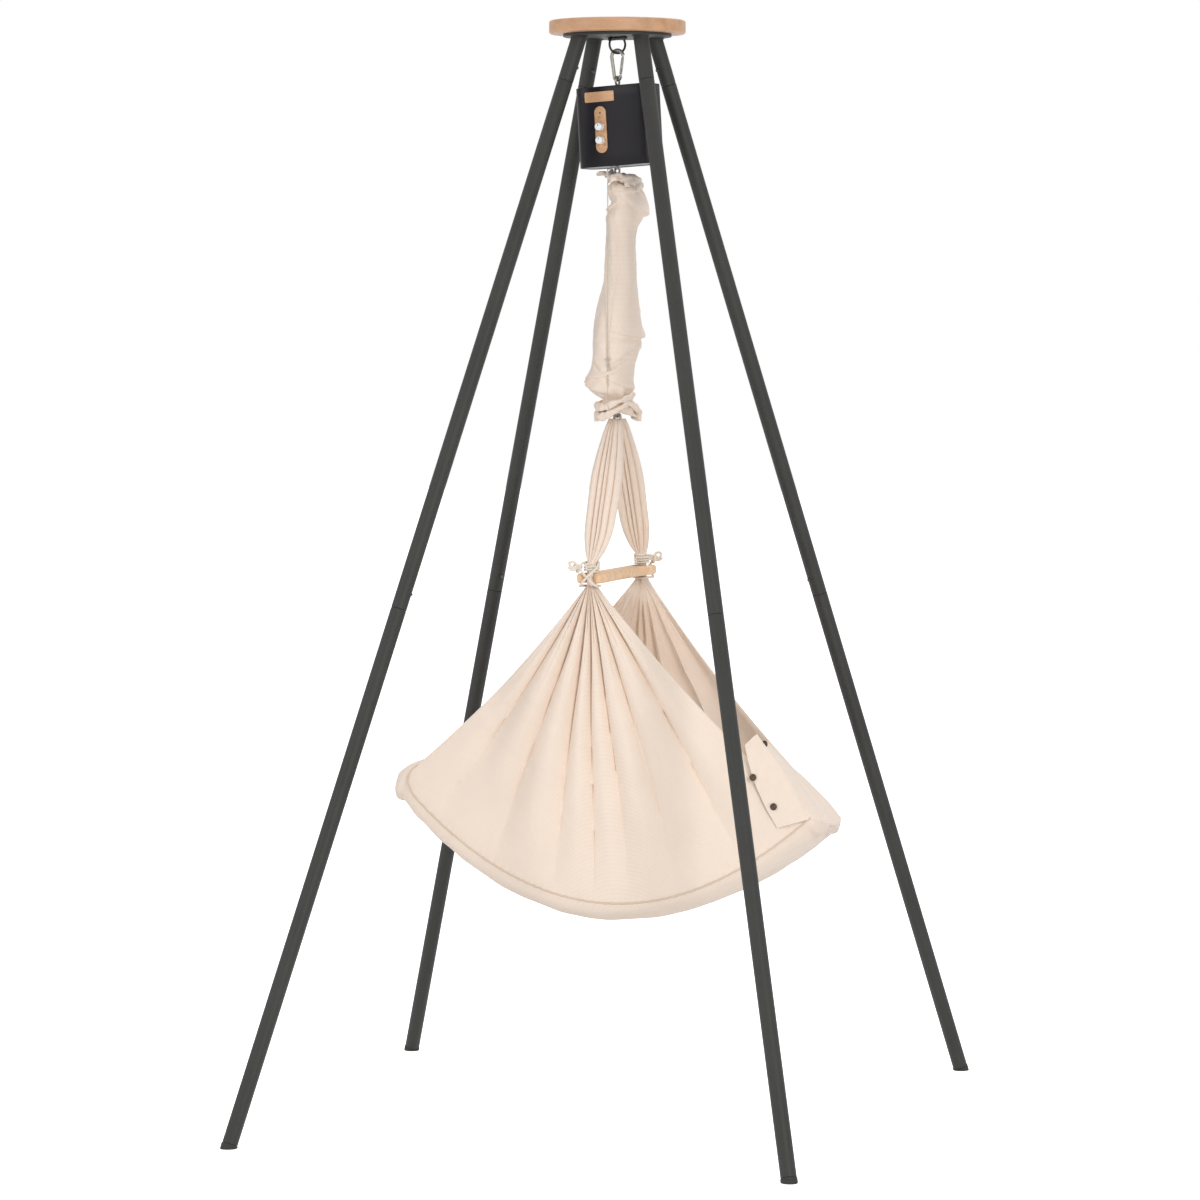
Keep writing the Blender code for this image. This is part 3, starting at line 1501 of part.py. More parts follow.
build_hub()
build_legs()
build_ring_and_hook()
build_motor_box()
LIFT_FRAME, SPRING_HOLE_Z = build_lift()
build_spring_parts(LIFT_FRAME, SPRING_HOLE_Z)
build_hammock()
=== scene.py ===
import math

import bmesh
import bpy
import numpy as np
from mathutils import Matrix, Vector


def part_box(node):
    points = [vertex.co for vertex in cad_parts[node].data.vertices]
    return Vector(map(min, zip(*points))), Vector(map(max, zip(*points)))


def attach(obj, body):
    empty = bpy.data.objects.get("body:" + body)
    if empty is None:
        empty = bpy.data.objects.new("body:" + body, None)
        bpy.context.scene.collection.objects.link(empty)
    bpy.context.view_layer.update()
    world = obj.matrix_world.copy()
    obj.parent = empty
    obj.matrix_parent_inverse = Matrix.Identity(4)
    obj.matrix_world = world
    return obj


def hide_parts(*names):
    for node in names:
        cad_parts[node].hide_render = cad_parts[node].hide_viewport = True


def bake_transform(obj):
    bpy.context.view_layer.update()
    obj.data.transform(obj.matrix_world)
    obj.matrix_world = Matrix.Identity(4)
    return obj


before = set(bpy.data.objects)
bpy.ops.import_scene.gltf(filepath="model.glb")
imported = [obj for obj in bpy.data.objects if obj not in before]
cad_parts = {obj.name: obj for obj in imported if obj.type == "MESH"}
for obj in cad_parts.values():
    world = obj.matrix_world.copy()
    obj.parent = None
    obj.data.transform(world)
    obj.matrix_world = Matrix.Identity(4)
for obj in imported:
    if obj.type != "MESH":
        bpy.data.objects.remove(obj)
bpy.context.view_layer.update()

# The studio: a camera on the photograph's line of sight, a pale floor that runs out into white, and soft
# light from two big panels in front, one above and an even white sky.
scene = bpy.context.scene
scene.view_settings.view_transform = "Standard"

plate_low, plate_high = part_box("hub_plate")
hub = np.array(((plate_low.x + plate_high.x) / 2, (plate_low.y + plate_high.y) / 2, 0.0))

camera_place = Vector(hub) + Vector((2.612, -8.141, 1.448))
view_heading, view_drop = math.radians(108.0), math.radians(3.42)
camera_data = bpy.data.cameras.new("photo_camera")
camera_data.lens, camera_data.sensor_width, camera_data.clip_end = 140.55, 36.0, 100.0


def add_object(name, data):
    """A new object at the origin that holds this mesh, lamp, text or camera, linked into the scene."""
    made = bpy.data.objects.new(name, data)
    scene.collection.objects.link(made)
    return made


def aim(holder, place, way):
    """Puts a camera or a lamp at place, looking along way."""
    holder.location = place
    holder.rotation_euler = Vector(way).to_track_quat("-Z", "Y").to_euler()


camera = add_object("photo_camera", camera_data)
view_level = math.cos(view_drop)
view_way = (math.cos(view_heading) * view_level, math.sin(view_heading) * view_level, -math.sin(view_drop))
aim(camera, camera_place, view_way)
scene.camera = camera


def add_node(tree, kind, inputs=None, **settings):
    """One shader node. inputs maps a socket's name or number to a value, or to another node's output."""
    made = tree.nodes.new("ShaderNode" + kind)
    for key, value in settings.items():
        setattr(made, key, value)
    for key, value in (inputs or {}).items():
        if isinstance(value, bpy.types.NodeSocket):
            tree.links.new(value, made.inputs[key])
        else:
            made.inputs[key].default_value = value
    return made


def reckon(tree, operation, first, second=0.0, third=0.0):
    """A sum in a material, such as ADD, SINE, or MULTIPLY_ADD, which is first times second plus third."""
    return add_node(tree, "Math", {0: first, 1: second, 2: third}, operation=operation).outputs[0]


def seen_directly(tree):
    """1 for rays from the camera, a mirror or glass, and 0 for rays that light things."""
    path = add_node(tree, "LightPath").outputs
    either = reckon(tree, "MAXIMUM", path["Is Camera Ray"], path["Is Glossy Ray"])
    return reckon(tree, "MAXIMUM", either, path["Is Transmission Ray"])


def add_area_light(name, place, target, size, power, colour):
    """A round panel of light at place that faces target."""
    lamp = bpy.data.lights.new(name, "AREA")
    lamp.shape, lamp.size, lamp.energy, lamp.color = "DISK", size, power, colour
    aim(add_object(name, lamp), place, Vector(target) - Vector(place))


add_area_light("left_panel", (-3.6, -4.6, 3.3), (0.0, 0.0, 1.1), 1.7, 76, (1.0, 0.985, 0.97))
add_area_light("right_panel", (4.2, -5.2, 2.6), (0.0, 0.0, 1.1), 1.9, 158, (1.0, 0.99, 0.98))
add_area_light("top_panel", (0.4, 1.6, 5.6), (0.0, 0.0, 0.9), 3.4, 80, (1.0, 1.0, 1.0))

sky = bpy.data.worlds.new("white_studio")
sky.use_nodes = True
sky.node_tree.nodes.clear()
glow = add_node(sky.node_tree, "Background", {"Color": (0.96, 0.97, 1.0, 1), "Strength": 0.58})
white = add_node(sky.node_tree, "Background", {"Color": (1, 1, 1, 1), "Strength": 1.0})
sky_parts = {0: seen_directly(sky.node_tree), 1: glow.outputs[0], 2: white.outputs[0]}
both = add_node(sky.node_tree, "MixShader", sky_parts)
add_node(sky.node_tree, "OutputWorld", {0: both.outputs[0]})
scene.world = sky

floor_paper = bpy.data.materials.new("floor_paper")
floor_paper.use_nodes = True
paper = floor_paper.node_tree
paper.nodes.clear()
matte = add_node(paper, "BsdfDiffuse", {"Color": (0.86, 0.86, 0.855, 1)})
paper_glow = reckon(paper, "MULTIPLY", seen_directly(paper), 0.95)
lift_to_white = add_node(paper, "Emission", {"Color": (1, 1, 1, 1), "Strength": paper_glow})
paper_sum = add_node(paper, "AddShader", {0: matte.outputs[0], 1: lift_to_white.outputs[0]})
add_node(paper, "OutputMaterial", {0: paper_sum.outputs[0]})
floor_reach, floor_level = 30, -0.001
floor_signs = ((-1, -1), (1, -1), (1, 1), (-1, 1))
floor_mesh = bpy.data.meshes.new("studio_floor")
floor_corners = [(x * floor_reach, y * floor_reach, floor_level) for x, y in floor_signs]
floor_mesh.from_pydata(floor_corners, [], [(0, 1, 2, 3)])
floor_mesh.materials.append(floor_paper)
add_object("studio_floor", floor_mesh)


# Top disc: a round of solid beech, 248 mm across and 24 mm thick, sawn from a board, with both edges
# rounded over and an oiled face. It is screwed down on the steel plate of the stand.
def surface(name, points, finish, around=False, endless=False, capped=False, uv=None, ease=60):
    """A closed shape from a grid of points: each point joins the next in its row and in its column.

    around joins the last column to the first, endless joins the last row to the first, and capped closes the
    two end rows, each with one face. Faces are turned outwards by the sign of the volume that they hold. UVs
    are lengths in metres along the rows and columns, measured from the middle.
    """
    rows, columns = points.shape[:2]
    row_steps, column_steps = (rows if endless else rows - 1), (columns if around else columns - 1)
    row, column = np.meshgrid(np.arange(row_steps), np.arange(column_steps), indexing="ij")
    corners = [(row, column), (row, column + 1), (row + 1, column + 1), (row + 1, column)]
    faces = np.stack([(r % rows) * columns + c % columns for r, c in corners], -1).reshape(-1, 4)
    full = points if not around else np.concatenate([points, points[:, :1]], 1)
    full = full if not endless else np.concatenate([full, full[:1]], 0)
    if uv is None:
        across = np.zeros(full.shape[:2])
        along = np.zeros(full.shape[:2])
        across[:, 1:] = np.cumsum(np.linalg.norm(np.diff(full, axis=1), axis=2), 1)
        along[1:] = np.cumsum(np.linalg.norm(np.diff(full, axis=0), axis=2).mean(1))[:, None]
        across -= across[:, -1:] / 2
        uv = np.stack([across, along], -1)
    flat = points.reshape(-1, 3)
    a, b, c, d = (flat[faces[:, n]] for n in range(4))
    volume = (a * (np.cross(b, c) + np.cross(c, d))).sum()
    if volume < 0:
        faces = faces[:, ::-1]
        corners = corners[::-1]
    polygons = faces.tolist()
    if capped:
        first, last = list(range(columns)), list(range((rows - 1) * columns, rows * columns))
        polygons += [first[::-1], last] if volume > 0 else [first, last[::-1]]
    mesh = bpy.data.meshes.new(name)
    mesh.from_pydata(flat.tolist(), [], polygons)
    layer = mesh.uv_layers.new(name="cloth")
    corner_uv = np.zeros((len(mesh.loops), 2))
    corner_uv[: faces.size] = np.stack([uv[r, c] for r, c in corners], 2).reshape(-1, 2)
    layer.data.foreach_set("uv", corner_uv.ravel())
    mesh.shade_smooth()
    if ease:
        mesh.set_sharp_from_angle(angle=math.radians(ease))
    mesh.materials.append(finish)
    return add_object(name, mesh)


def full_turn(count):
    """This many angles once round a circle."""
    return np.linspace(0, 2 * math.pi, count, endpoint=False)


def round_grid(profile, place, axis, sides, first=None, swell=0.0):
    """Points of a profile of (radius, height) carried round an axis through place, starting towards first.

    swell is added to the radii: one number, or a grid of one for each profile point and side.
    """
    profile = np.array(profile, float)
    up = np.array(axis, float) / np.linalg.norm(axis)
    if first is None:
        first = np.cross(up, (0.0, 1.0, 0.0) if abs(up[1]) < 0.9 else (1.0, 0.0, 0.0))
        first /= np.linalg.norm(first)
    turn = full_turn(sides)[None, :, None]
    radius, height = (profile[:, :1] + swell)[..., None], profile[:, 1][:, None, None]
    ring = np.cos(turn) * first + np.sin(turn) * np.cross(up, first)
    return np.array(place) + height * up + radius * ring


def turned(name, profile, finish, place=(0, 0, 0), axis=(0, 0, 1), sides=64, ease=35, **more):
    """A lathe shape: a closed profile carried round an axis, as round_grid() says."""
    points = round_grid(profile, place, axis, sides, **more)
    return surface(name, points, finish, around=True, endless=profile[0][0] > 1e-6, ease=ease)


def fit(piece, body, node=None):
    """Joins a finished piece to the model: the node it stands for, and the body it rides on."""
    if node:
        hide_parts(node)
    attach(piece, body)


def new_finish(name, colour, roughness, metallic=0.0, **more):
    """A material whose shader has these plain values, and its node tree and shader to add detail to."""
    finish = bpy.data.materials.new(name)
    finish.use_nodes = True
    shader = finish.node_tree.nodes["Principled BSDF"]
    shader.inputs["Base Color"].default_value = (*colour, 1)
    shader.inputs["Roughness"].default_value = roughness
    shader.inputs["Metallic"].default_value = metallic
    for key, value in more.items():
        shader.inputs[key.replace("_", " ").title()].default_value = value
    finish.diffuse_color = (*colour, 1)
    return finish, finish.node_tree, shader


def ramp(tree, source, *stops):
    """Colours between these stops, each a place from 0 to 1 and a colour."""
    made = add_node(tree, "ValToRGB", {0: source})
    while len(made.color_ramp.elements) < len(stops):
        made.color_ramp.elements.new(0.5)
    for element, (place, colour) in zip(made.color_ramp.elements, stops):
        element.position = place
        element.color = (*colour, 1)
    return made.outputs[0]


def noise(tree, place, scale, detail=2.0, roughness=0.5, distortion=0.0):
    """Soft random patches, about scale of them in a metre."""
    found = {"Vector": place, "Scale": scale, "Detail": detail, "Roughness": roughness}
    return add_node(tree, "TexNoise", {**found, "Distortion": distortion}).outputs[0]


def bumped(tree, height, distance, strength=1.0, under=None):
    """The normal of a bump of this depth in metres, on top of another."""
    inputs = {"Height": height, "Distance": distance, "Strength": strength}
    if under is not None:
        inputs["Normal"] = under
    return add_node(tree, "Bump", inputs).outputs[0]


def object_place(tree, scale=(1, 1, 1), turn=(0, 0, 0)):
    """A point's place on the object in metres, squeezed and turned for a pattern."""
    source = add_node(tree, "TexCoord").outputs["Object"]
    return add_node(tree, "Mapping", {"Vector": source, "Scale": scale, "Rotation": turn}).outputs[0]


def tint(colour, by):
    """A colour with each part times this, up to 1."""
    return tuple(min(1.0, part * by) for part in colour)


def multiplied(tree, share, under, over):
    """One colour times another, by this share."""
    return add_node(
        tree, "Mix", {0: share, 6: under, 7: over}, data_type="RGBA", blend_type="MULTIPLY"
    ).outputs[2]


def beech_finish(name, colour, turn=(0, 0, 0)):
    """Oiled beech: broad growth bands, fine fibres and short dark ray flecks, all long in the grain's X."""
    finish, tree, shader = new_finish(name, colour, 0.5)
    bands = noise(tree, object_place(tree, (5, 60, 60), turn), 1.0, 3, 0.55, 0.6)
    fibres = noise(tree, object_place(tree, (40, 1500, 1500), turn), 1.0, 3, 0.6)
    flecks = noise(tree, object_place(tree, (260, 1700, 1700), turn), 1.0, 1, 0.4)
    wood = ramp(tree, bands, (0.30, tint(colour, 0.84)), (0.52, colour), (0.72, tint(colour, 1.12)))
    fibre_tone = ramp(tree, fibres, (0.30, (0.84, 0.80, 0.76)), (0.62, (1.03, 1.03, 1.03)))
    fleck_tone = ramp(tree, flecks, (0.62, (1, 1, 1)), (0.72, (0.72, 0.62, 0.55)))
    flecked = multiplied(tree, 0.6, multiplied(tree, 1.0, wood, fibre_tone), fleck_tone)
    tree.links.new(flecked, shader.inputs["Base Color"])
    tree.links.new(reckon(tree, "MULTIPLY_ADD", fibres, 0.18, 0.40), shader.inputs["Roughness"])
    tree.links.new(bumped(tree, fibres, 0.00012, 0.6), shader.inputs["Normal"])
    return finish


disc_beech = beech_finish("oiled_beech", (0.585, 0.335, 0.185), (0, 0, 0.5))
disc_radius, disc_top, disc_bottom, disc_edge = 0.124, 1.990, 1.966, 0.0038
disc_curve = np.linspace(0, math.pi / 2, 7)
disc_inset, disc_drop = disc_edge * (1 - np.sin(disc_curve)), disc_edge * (1 - np.cos(disc_curve))
disc_profile = [
    (0.0, disc_top), (disc_radius * 0.5, disc_top),
    *zip(disc_radius - disc_inset, disc_top - disc_drop),
    *zip(disc_radius - disc_drop, disc_bottom + disc_inset),
    (disc_radius * 0.5, disc_bottom), (0.0, disc_bottom),
]
fit(turned("beech_top_disc", disc_profile, disc_beech, hub, sides=160), "stand", "top_disc")


# Hub plate: a turned ring of 5 mm steel under the disc, with a round bar welded across its bore for the
# hanging ring. It is powder coated in matte dark grey with the legs.
def vary(tree, shader, colour, source, tones, drift, spread, least, dents, depth, strength):
    """Gives a finish tones of its colour by source, a roughness from least that drifts, and fine dents."""
    stops = [(place, tint(colour, by)) for place, by in tones]
    tree.links.new(ramp(tree, source, *stops), shader.inputs["Base Color"])
    tree.links.new(reckon(tree, "MULTIPLY_ADD", drift, spread, least), shader.inputs["Roughness"])
    tree.links.new(bumped(tree, dents, depth, strength), shader.inputs["Normal"])


def powder_coat(name, colour, roughness):
    """Matte powder coat: the fine orange peel of the baked powder, and faint drifts of tone."""
    finish, tree, shader = new_finish(name, colour, roughness)
    shader.inputs["Specular IOR Level"].default_value = 0.28
    place = object_place(tree)
    peel, drift = noise(tree, place, 1400, 2, 0.6), noise(tree, place, 9, 3, 0.55)
    speck = noise(tree, place, 420, 1, 0.4)
    mixed = reckon(tree, "MULTIPLY_ADD", speck, 0.35, reckon(tree, "MULTIPLY", drift, 0.65))
    tones = ((0.36, 0.86), (0.52, 1.0), (0.68, 1.16))
    vary(tree, shader, colour, mixed, tones, drift, 0.12, roughness - 0.06, peel, 0.00008, 0.7)
    return finish


leg_coat = powder_coat("grey_powder_coat", (0.036, 0.036, 0.034), 0.56)
plate_bottom, plate_top = 1.9607, 1.9657
plate_radius, bore_radius, plate_edge = 0.0985, 0.021, 0.0007
plate_profile = [
    (plate_radius - plate_edge, plate_top), (plate_radius, plate_top - plate_edge),
    (plate_radius, plate_bottom + plate_edge), (plate_radius - plate_edge, plate_bottom),
    (bore_radius + plate_edge, plate_bottom), (bore_radius, plate_bottom + plate_edge),
    (bore_radius, plate_top - plate_edge), (bore_radius + plate_edge, plate_top),
]
fit(turned("steel_hub_plate", plate_profile, leg_coat, hub, sides=128), "stand", "hub_plate")


def heading(degrees):
    """The level unit vector at this angle from +X."""
    return np.array((math.cos(math.radians(degrees)), math.sin(math.radians(degrees)), 0.0))


cross_bar_z, cross_bar_radius, cross_bar_half, bar_bevel = 1.9581, 0.003, 0.033, 0.0006
cross_bar_way = np.array((-heading(45)[1], heading(45)[0], 0))
cross_bar_top = [
    (0, cross_bar_half), (cross_bar_radius - bar_bevel, cross_bar_half),
    (cross_bar_radius, cross_bar_half - bar_bevel),
]
cross_bar = turned(
    "welded_cross_bar",
    cross_bar_top + [(radius, -height) for radius, height in cross_bar_top[::-1]],
    leg_coat,
    hub + (0, 0, cross_bar_z),
    cross_bar_way,
    sides=32,
)
fit(cross_bar, "stand")


# Legs: a short tube welded under the plate, then two 28 mm steel tubes that plug into it and into each
# other. Each joint is locked by a sprung button in a drilled hole, and a rubber cap cut flat to the floor
# ends the leg.
leg_spread = {
    "front_left": (229.5, 229.5),
    "back_left": (139.5, 138.5),
    "back_right": (49.5, 51.5),
    "front_right": (319.5, 309.0),
}
leg_top_radius, foot_radius, tube_radius = 0.080, 0.800, 0.014
socket_length, upper_leg_length, cap_height = 0.0885, 1.004, 0.0085
tube_bore, tube_lip, plug_length, plug_slack = tube_radius - 0.0015, 0.0007, 0.055, 0.0004
button_radius, button_proud, button_above = 0.0033, 0.0034, 0.032
floor_clearance, weld_radius = 0.0001, 0.0017


def grained_finish(name, colour, roughness, grain, dark, light, metallic=0.0, dents=None, **more):
    """A finish whose colour runs from dark to light over fine noise, each a ramp's place and colour.

    grain is the noise's scale, detail and roughness. dents is the depth in metres and strength of its bumps.
    """
    finish, tree, shader = new_finish(name, colour, roughness, metallic, **more)
    speckle = noise(tree, object_place(tree), *grain)
    tree.links.new(ramp(tree, speckle, dark, light), shader.inputs["Base Color"])
    if dents:
        tree.links.new(bumped(tree, speckle, *dents), shader.inputs["Normal"])
    return finish


cap_rubber = grained_finish(
    "foot_cap_rubber",
    (0.014, 0.014, 0.014),
    0.72,
    (900, 3, 0.6),
    (0.3, (0.009, 0.009, 0.009)),
    (0.7, (0.022, 0.021, 0.02)),
    dents=(0.0001, 0.8),
)
button_steel = grained_finish(
    "button_steel",
    (0.05, 0.05, 0.05),
    0.35,
    (700, 2, 0.6),
    (0.35, (0.03, 0.03, 0.03)),
    (0.7, (0.12, 0.12, 0.115)),
    metallic=0.7,
)


def cut_by_level(points, way, level, above):
    """Slides points along way until they are on the level plane, where they would be past it."""
    past = points[..., 2] > level if above else points[..., 2] < level
    slide = np.where(past, (level - points[..., 2]) / way[2], 0.0)
    return points + slide[..., None] * way


def plug_tube(seam, end, rise, ease, gap):
    """Profile of a tube that plugs into the one above its seam, down to an end that is eased over rise."""
    neck, inside = tube_bore - plug_slack, tube_bore - 0.0016
    return [
        (neck, seam + plug_length), (neck, seam + 0.0002), (tube_radius - 0.0012, seam - 0.0001),
        (tube_radius - 0.0003, seam - 0.0006), (tube_radius, seam - 0.0016), (tube_radius, end + rise),
        (tube_radius - ease, end + gap), (tube_bore, end + gap), (tube_bore, seam - 0.012),
        (inside, seam), (inside, seam + plug_length),
    ]


button_tip = tube_radius + button_proud
button_profile = [
    (0, button_tip), (0.0012, button_tip - 0.0001), (0.0023, button_tip - 0.0005),
    (0.0030, button_tip - 0.0012), (button_radius, button_tip - 0.0021), (button_radius, 0.0095),
    (0, 0.0095),
]

for leg_side, (socket_turn, foot_turn) in leg_spread.items():
    leg_top = hub + heading(socket_turn) * leg_top_radius + (0, 0, plate_bottom)
    foot = hub + heading(foot_turn) * foot_radius
    leg_length = np.linalg.norm(leg_top - foot)
    up_leg = (leg_top - foot) / leg_length
    inward = -heading(foot_turn) + up_leg * heading(foot_turn).dot(up_leg)
    inward /= np.linalg.norm(inward)
    beside = np.cross(up_leg, inward)
    first_seam = -socket_length
    second_seam = first_seam - upper_leg_length
    tube_end, cap_bottom = cap_height - leg_length, -leg_length
    socket_profile = [
        (tube_radius, 0.02), (tube_radius, first_seam + 0.0012),
        (tube_radius - tube_lip, first_seam + 0.0004), (tube_bore, first_seam + 0.0004),
        (tube_bore, 0.02),
    ]
    cap_profile = [
        (0.0, tube_end + 0.012), (tube_bore - plug_slack, tube_end + 0.012),
        (tube_bore - plug_slack, tube_end - 0.0002), (tube_radius + 0.0002, tube_end - 0.0002),
        (tube_radius + 0.0008, tube_end - 0.0010), (tube_radius + 0.0008, cap_bottom + 0.0012),
        (tube_radius + 0.0004, cap_bottom - 0.006), (0.0, cap_bottom - 0.006),
    ]
    upper_profile = plug_tube(first_seam, second_seam, 0.0012, tube_lip, 0.0004)
    lower_profile = plug_tube(second_seam, tube_end, 0.0008, 0.0004, 0.0002)
    for kind, part, profile, finish, slot, cut in (
        ("coated", "leg_socket", socket_profile, leg_coat, "black_steel", (plate_bottom - 0.0001, True)),
        ("coated", "upper_leg", upper_profile, leg_coat, "black_steel", None),
        ("coated", "lower_leg", lower_profile, leg_coat, "black_steel", None),
        ("rubber", "foot_cap", cap_profile, cap_rubber, "black_rubber", (floor_clearance, False)),
    ):
        points = round_grid(profile, leg_top, up_leg, 48, inward)
        if cut:
            points = cut_by_level(points, up_leg, *cut)
        node_name = f"{part}_{leg_side}"
        solid = profile[0][0] < 1e-6
        tube = surface(f"{kind}_{node_name}", points, finish, around=True, endless=not solid, ease=30)
        fit(tube, "stand", node_name)
    # The weld is a rippled bead round the socket's mouth, pressed flat against the plate
    weld_turn, weld_ring = full_turn(72), full_turn(8)[None, :, None]
    weld_line = np.cos(weld_turn)[:, None] * inward + np.sin(weld_turn)[:, None] * beside
    weld_line = leg_top + (tube_radius + 0.0004) * weld_line
    weld_line = weld_line + ((plate_bottom - 0.0006 - weld_line[:, 2]) / up_leg[2])[:, None] * up_leg
    weld_out = weld_line - weld_line.mean(0)
    weld_out /= np.linalg.norm(weld_out, axis=1)[:, None]
    bead = (weld_radius + 0.0003 * np.sin(weld_turn * 18))[:, None, None]
    weld_points = weld_line[:, None] + bead * (
        np.cos(weld_ring) * weld_out[:, None] + np.sin(weld_ring) * (0, 0, 1)
    )
    weld_points[..., 2] = np.minimum(weld_points[..., 2], plate_bottom - 0.0001)
    weld = surface(f"leg_weld_{leg_side}", weld_points, leg_coat, around=True, endless=True)
    fit(weld, "stand")
    for number, seam in ((1, first_seam), (2, second_seam)):
        spot = f"{leg_side}_{number}"
        button_middle = leg_top + up_leg * (seam + button_above)
        button_name = "sprung_button_" + spot
        button = turned(button_name, button_profile, button_steel, button_middle, inward, sides=28)
        fit(button, "button_" + spot, "snap_button_" + spot)
        rim_reach = np.array((button_radius + 0.0001, 0.0042, 0.0046, 0.0040))[:, None]
        rim_rise = np.array((0.0001, 0.0003, -0.0004, -0.0008))[:, None]
        sideways, along = rim_reach * np.sin(full_turn(40)), rim_reach * np.cos(full_turn(40))
        outwards = np.sqrt(tube_radius**2 - sideways**2) + rim_rise
        rim_points = button_middle + outwards[..., None] * inward + sideways[..., None] * beside
        rim_points = rim_points + along[..., None] * up_leg
        rim_name = "button_hole_rim_" + spot
        fit(surface(rim_name, rim_points, cap_rubber, around=True, endless=True), "stand")


# Hanging ring and snap hook: a welded ring of black steel wire swings on the plate's cross bar, and a
# zinc-plated snap hook of round bar with a sprung gate carries the motor box from it.
def swept(name, path, radius, finish, reference, closed=False, sides=20, twist=None, ease=60):
    """A round bar along a path. Each ring of points stands square to the path, from a fixed reference way.

    radius is one number, or one for each point of the path, or a grid of one for each point and side.
    """
    path = np.array(path, float)
    after, before = np.roll(path, -1, 0), np.roll(path, 1, 0)
    if not closed:
        after[-1], before[0] = path[-1], path[0]
    along = after - before
    along /= np.linalg.norm(along, axis=1)[:, None]
    first = np.array(reference, float) - along * (along @ np.array(reference, float))[:, None]
    first /= np.linalg.norm(first, axis=1)[:, None]
    second = np.cross(along, first)
    turn = full_turn(sides)[None, :]
    radii = np.array(radius, float)
    reach = np.broadcast_to(radii if radii.ndim == 2 else radii.reshape(-1, 1), (len(path), sides))
    points = path[:, None] + reach[..., None] * (
        np.cos(turn)[..., None] * first[:, None] + np.sin(turn)[..., None] * second[:, None]
    )
    return surface(name, points, finish, around=True, endless=closed, capped=not closed, ease=ease)


upright = np.array((0, 0, 1.0))


def upright_circle(middle, radius, way, count):
    """Points round a circle that stands upright and holds the level way."""
    turn = full_turn(count)[:, None]
    return np.array(middle) + radius * (np.cos(turn) * way + np.sin(turn) * upright)


ring_black = grained_finish(
    "black_ring_steel",
    (0.012, 0.012, 0.012),
    0.38,
    (260, 3, 0.6),
    (0.45, (0.010, 0.010, 0.010)),
    (0.78, (0.045, 0.043, 0.040)),
    metallic=0.4,
    dents=(0.00006, 0.6),
)
ring_radius, ring_wire = 0.016, 0.002
ring_path = upright_circle(hub + (0, 0, 1.9474), ring_radius, heading(45), 96)
ring_square = np.cross(heading(45), upright)
ring = swept("black_hanging_ring", ring_path, ring_wire, ring_black, ring_square, closed=True)
fit(ring, "ring", "hanging_ring")


def plated_steel(name, colour, roughness):
    """Zinc plate: a soft grey metal with cloudy patches, fine scratches and darker rubbed spots."""
    finish, tree, shader = new_finish(name, colour, roughness, 0.85)
    cloud = noise(tree, object_place(tree), 120, 3, 0.6, 0.4)
    scratch = noise(tree, object_place(tree, (1, 1, 0.08), (0.5, 0.3, 0)), 2400, 2, 0.7)
    tones = ((0.32, 0.72), (0.55, 1.0), (0.75, 1.14))
    vary(tree, shader, colour, cloud, tones, cloud, 0.25, roughness - 0.10, scratch, 0.00003, 0.6)
    return finish


zinc = plated_steel("zinc_plated_steel", (0.44, 0.41, 0.37), 0.48)


def snap_hook(name, gate_name, place, way, sizes, wire, gate_wire, bodies, nodes):
    """A pear-shaped snap hook: its wire runs from the hinge round the bottom, up the back and to the nose.

    The two ends of the pear are circles of these radii whose middles are a length apart, joined by tangents.
    """
    top_radius, low_radius, apart = sizes
    tilt = math.asin((top_radius - low_radius) / apart)
    way = np.array(way)
    top_middle = low_radius + apart

    def flat(x, z):
        return np.array(place) + np.multiply.outer(x, way) + np.multiply.outer(z, upright)

    low_end = np.array((low_radius * math.cos(tilt), low_radius - low_radius * math.sin(tilt)))
    high_end = np.array((top_radius * math.cos(tilt), top_middle - top_radius * math.sin(tilt)))
    hinge = low_end + 0.10 * (high_end - low_end)
    sweep_low = -tilt - (math.pi - 2 * tilt) * np.linspace(0, 1, 24)
    sweep_top = math.pi + tilt - (math.pi + tilt - math.radians(8)) * np.linspace(0, 1, 34)
    xs = np.concatenate([[hinge[0]], low_radius * np.cos(sweep_low), top_radius * np.cos(sweep_top)])
    zs_low, zs_top = low_radius + low_radius * np.sin(sweep_low), top_middle + top_radius * np.sin(sweep_top)
    zs = np.concatenate([[hinge[1]], zs_low, zs_top])
    share = np.linspace(0, 1, len(xs))
    thick = wire * (1 + 0.10 * np.exp(-((share - 1) / 0.05) ** 2) + 0.06 * np.exp(-(share / 0.03) ** 2))
    thick[[0, -1]] *= 0.8
    square = np.cross(way, upright)
    fit(swept(name, flat(xs, zs), thick, zinc, square), bodies[0], nodes[0])
    reach = np.array((xs[-1], zs[-1])) - hinge
    length = np.linalg.norm(reach)
    reach /= length
    pivot = flat(*(hinge + reach * (gate_wire + 0.0006)))
    bar = (length - 0.0009 - wire * 0.25) / gate_wire - 1
    gate_profile = [
        (0, bar), (0.62, bar), (0.80, bar - 0.25), (0.80, bar - 1.3), (1, bar - 1.7), (1, 1.1),
        (0.86, 0.9), (0.86, 0.6), (1, 0.4), (1, 0), (0.7, -0.7), (0, -1),
    ]
    gate_axis = reach[0] * way + reach[1] * upright
    gate = turned(gate_name, np.array(gate_profile) * gate_wire, zinc, pivot, gate_axis, sides=28)
    fit(gate, bodies[1], nodes[1])
    pin_profile = [(0, 1.16), (0.26, 1.16), (0.34, 1.02), (0.34, -1.02), (0.26, -1.16), (0, -1.16)]
    pin = turned(gate_name + "_pin", np.array(pin_profile) * wire, zinc, pivot, square, sides=20)
    fit(pin, bodies[1])


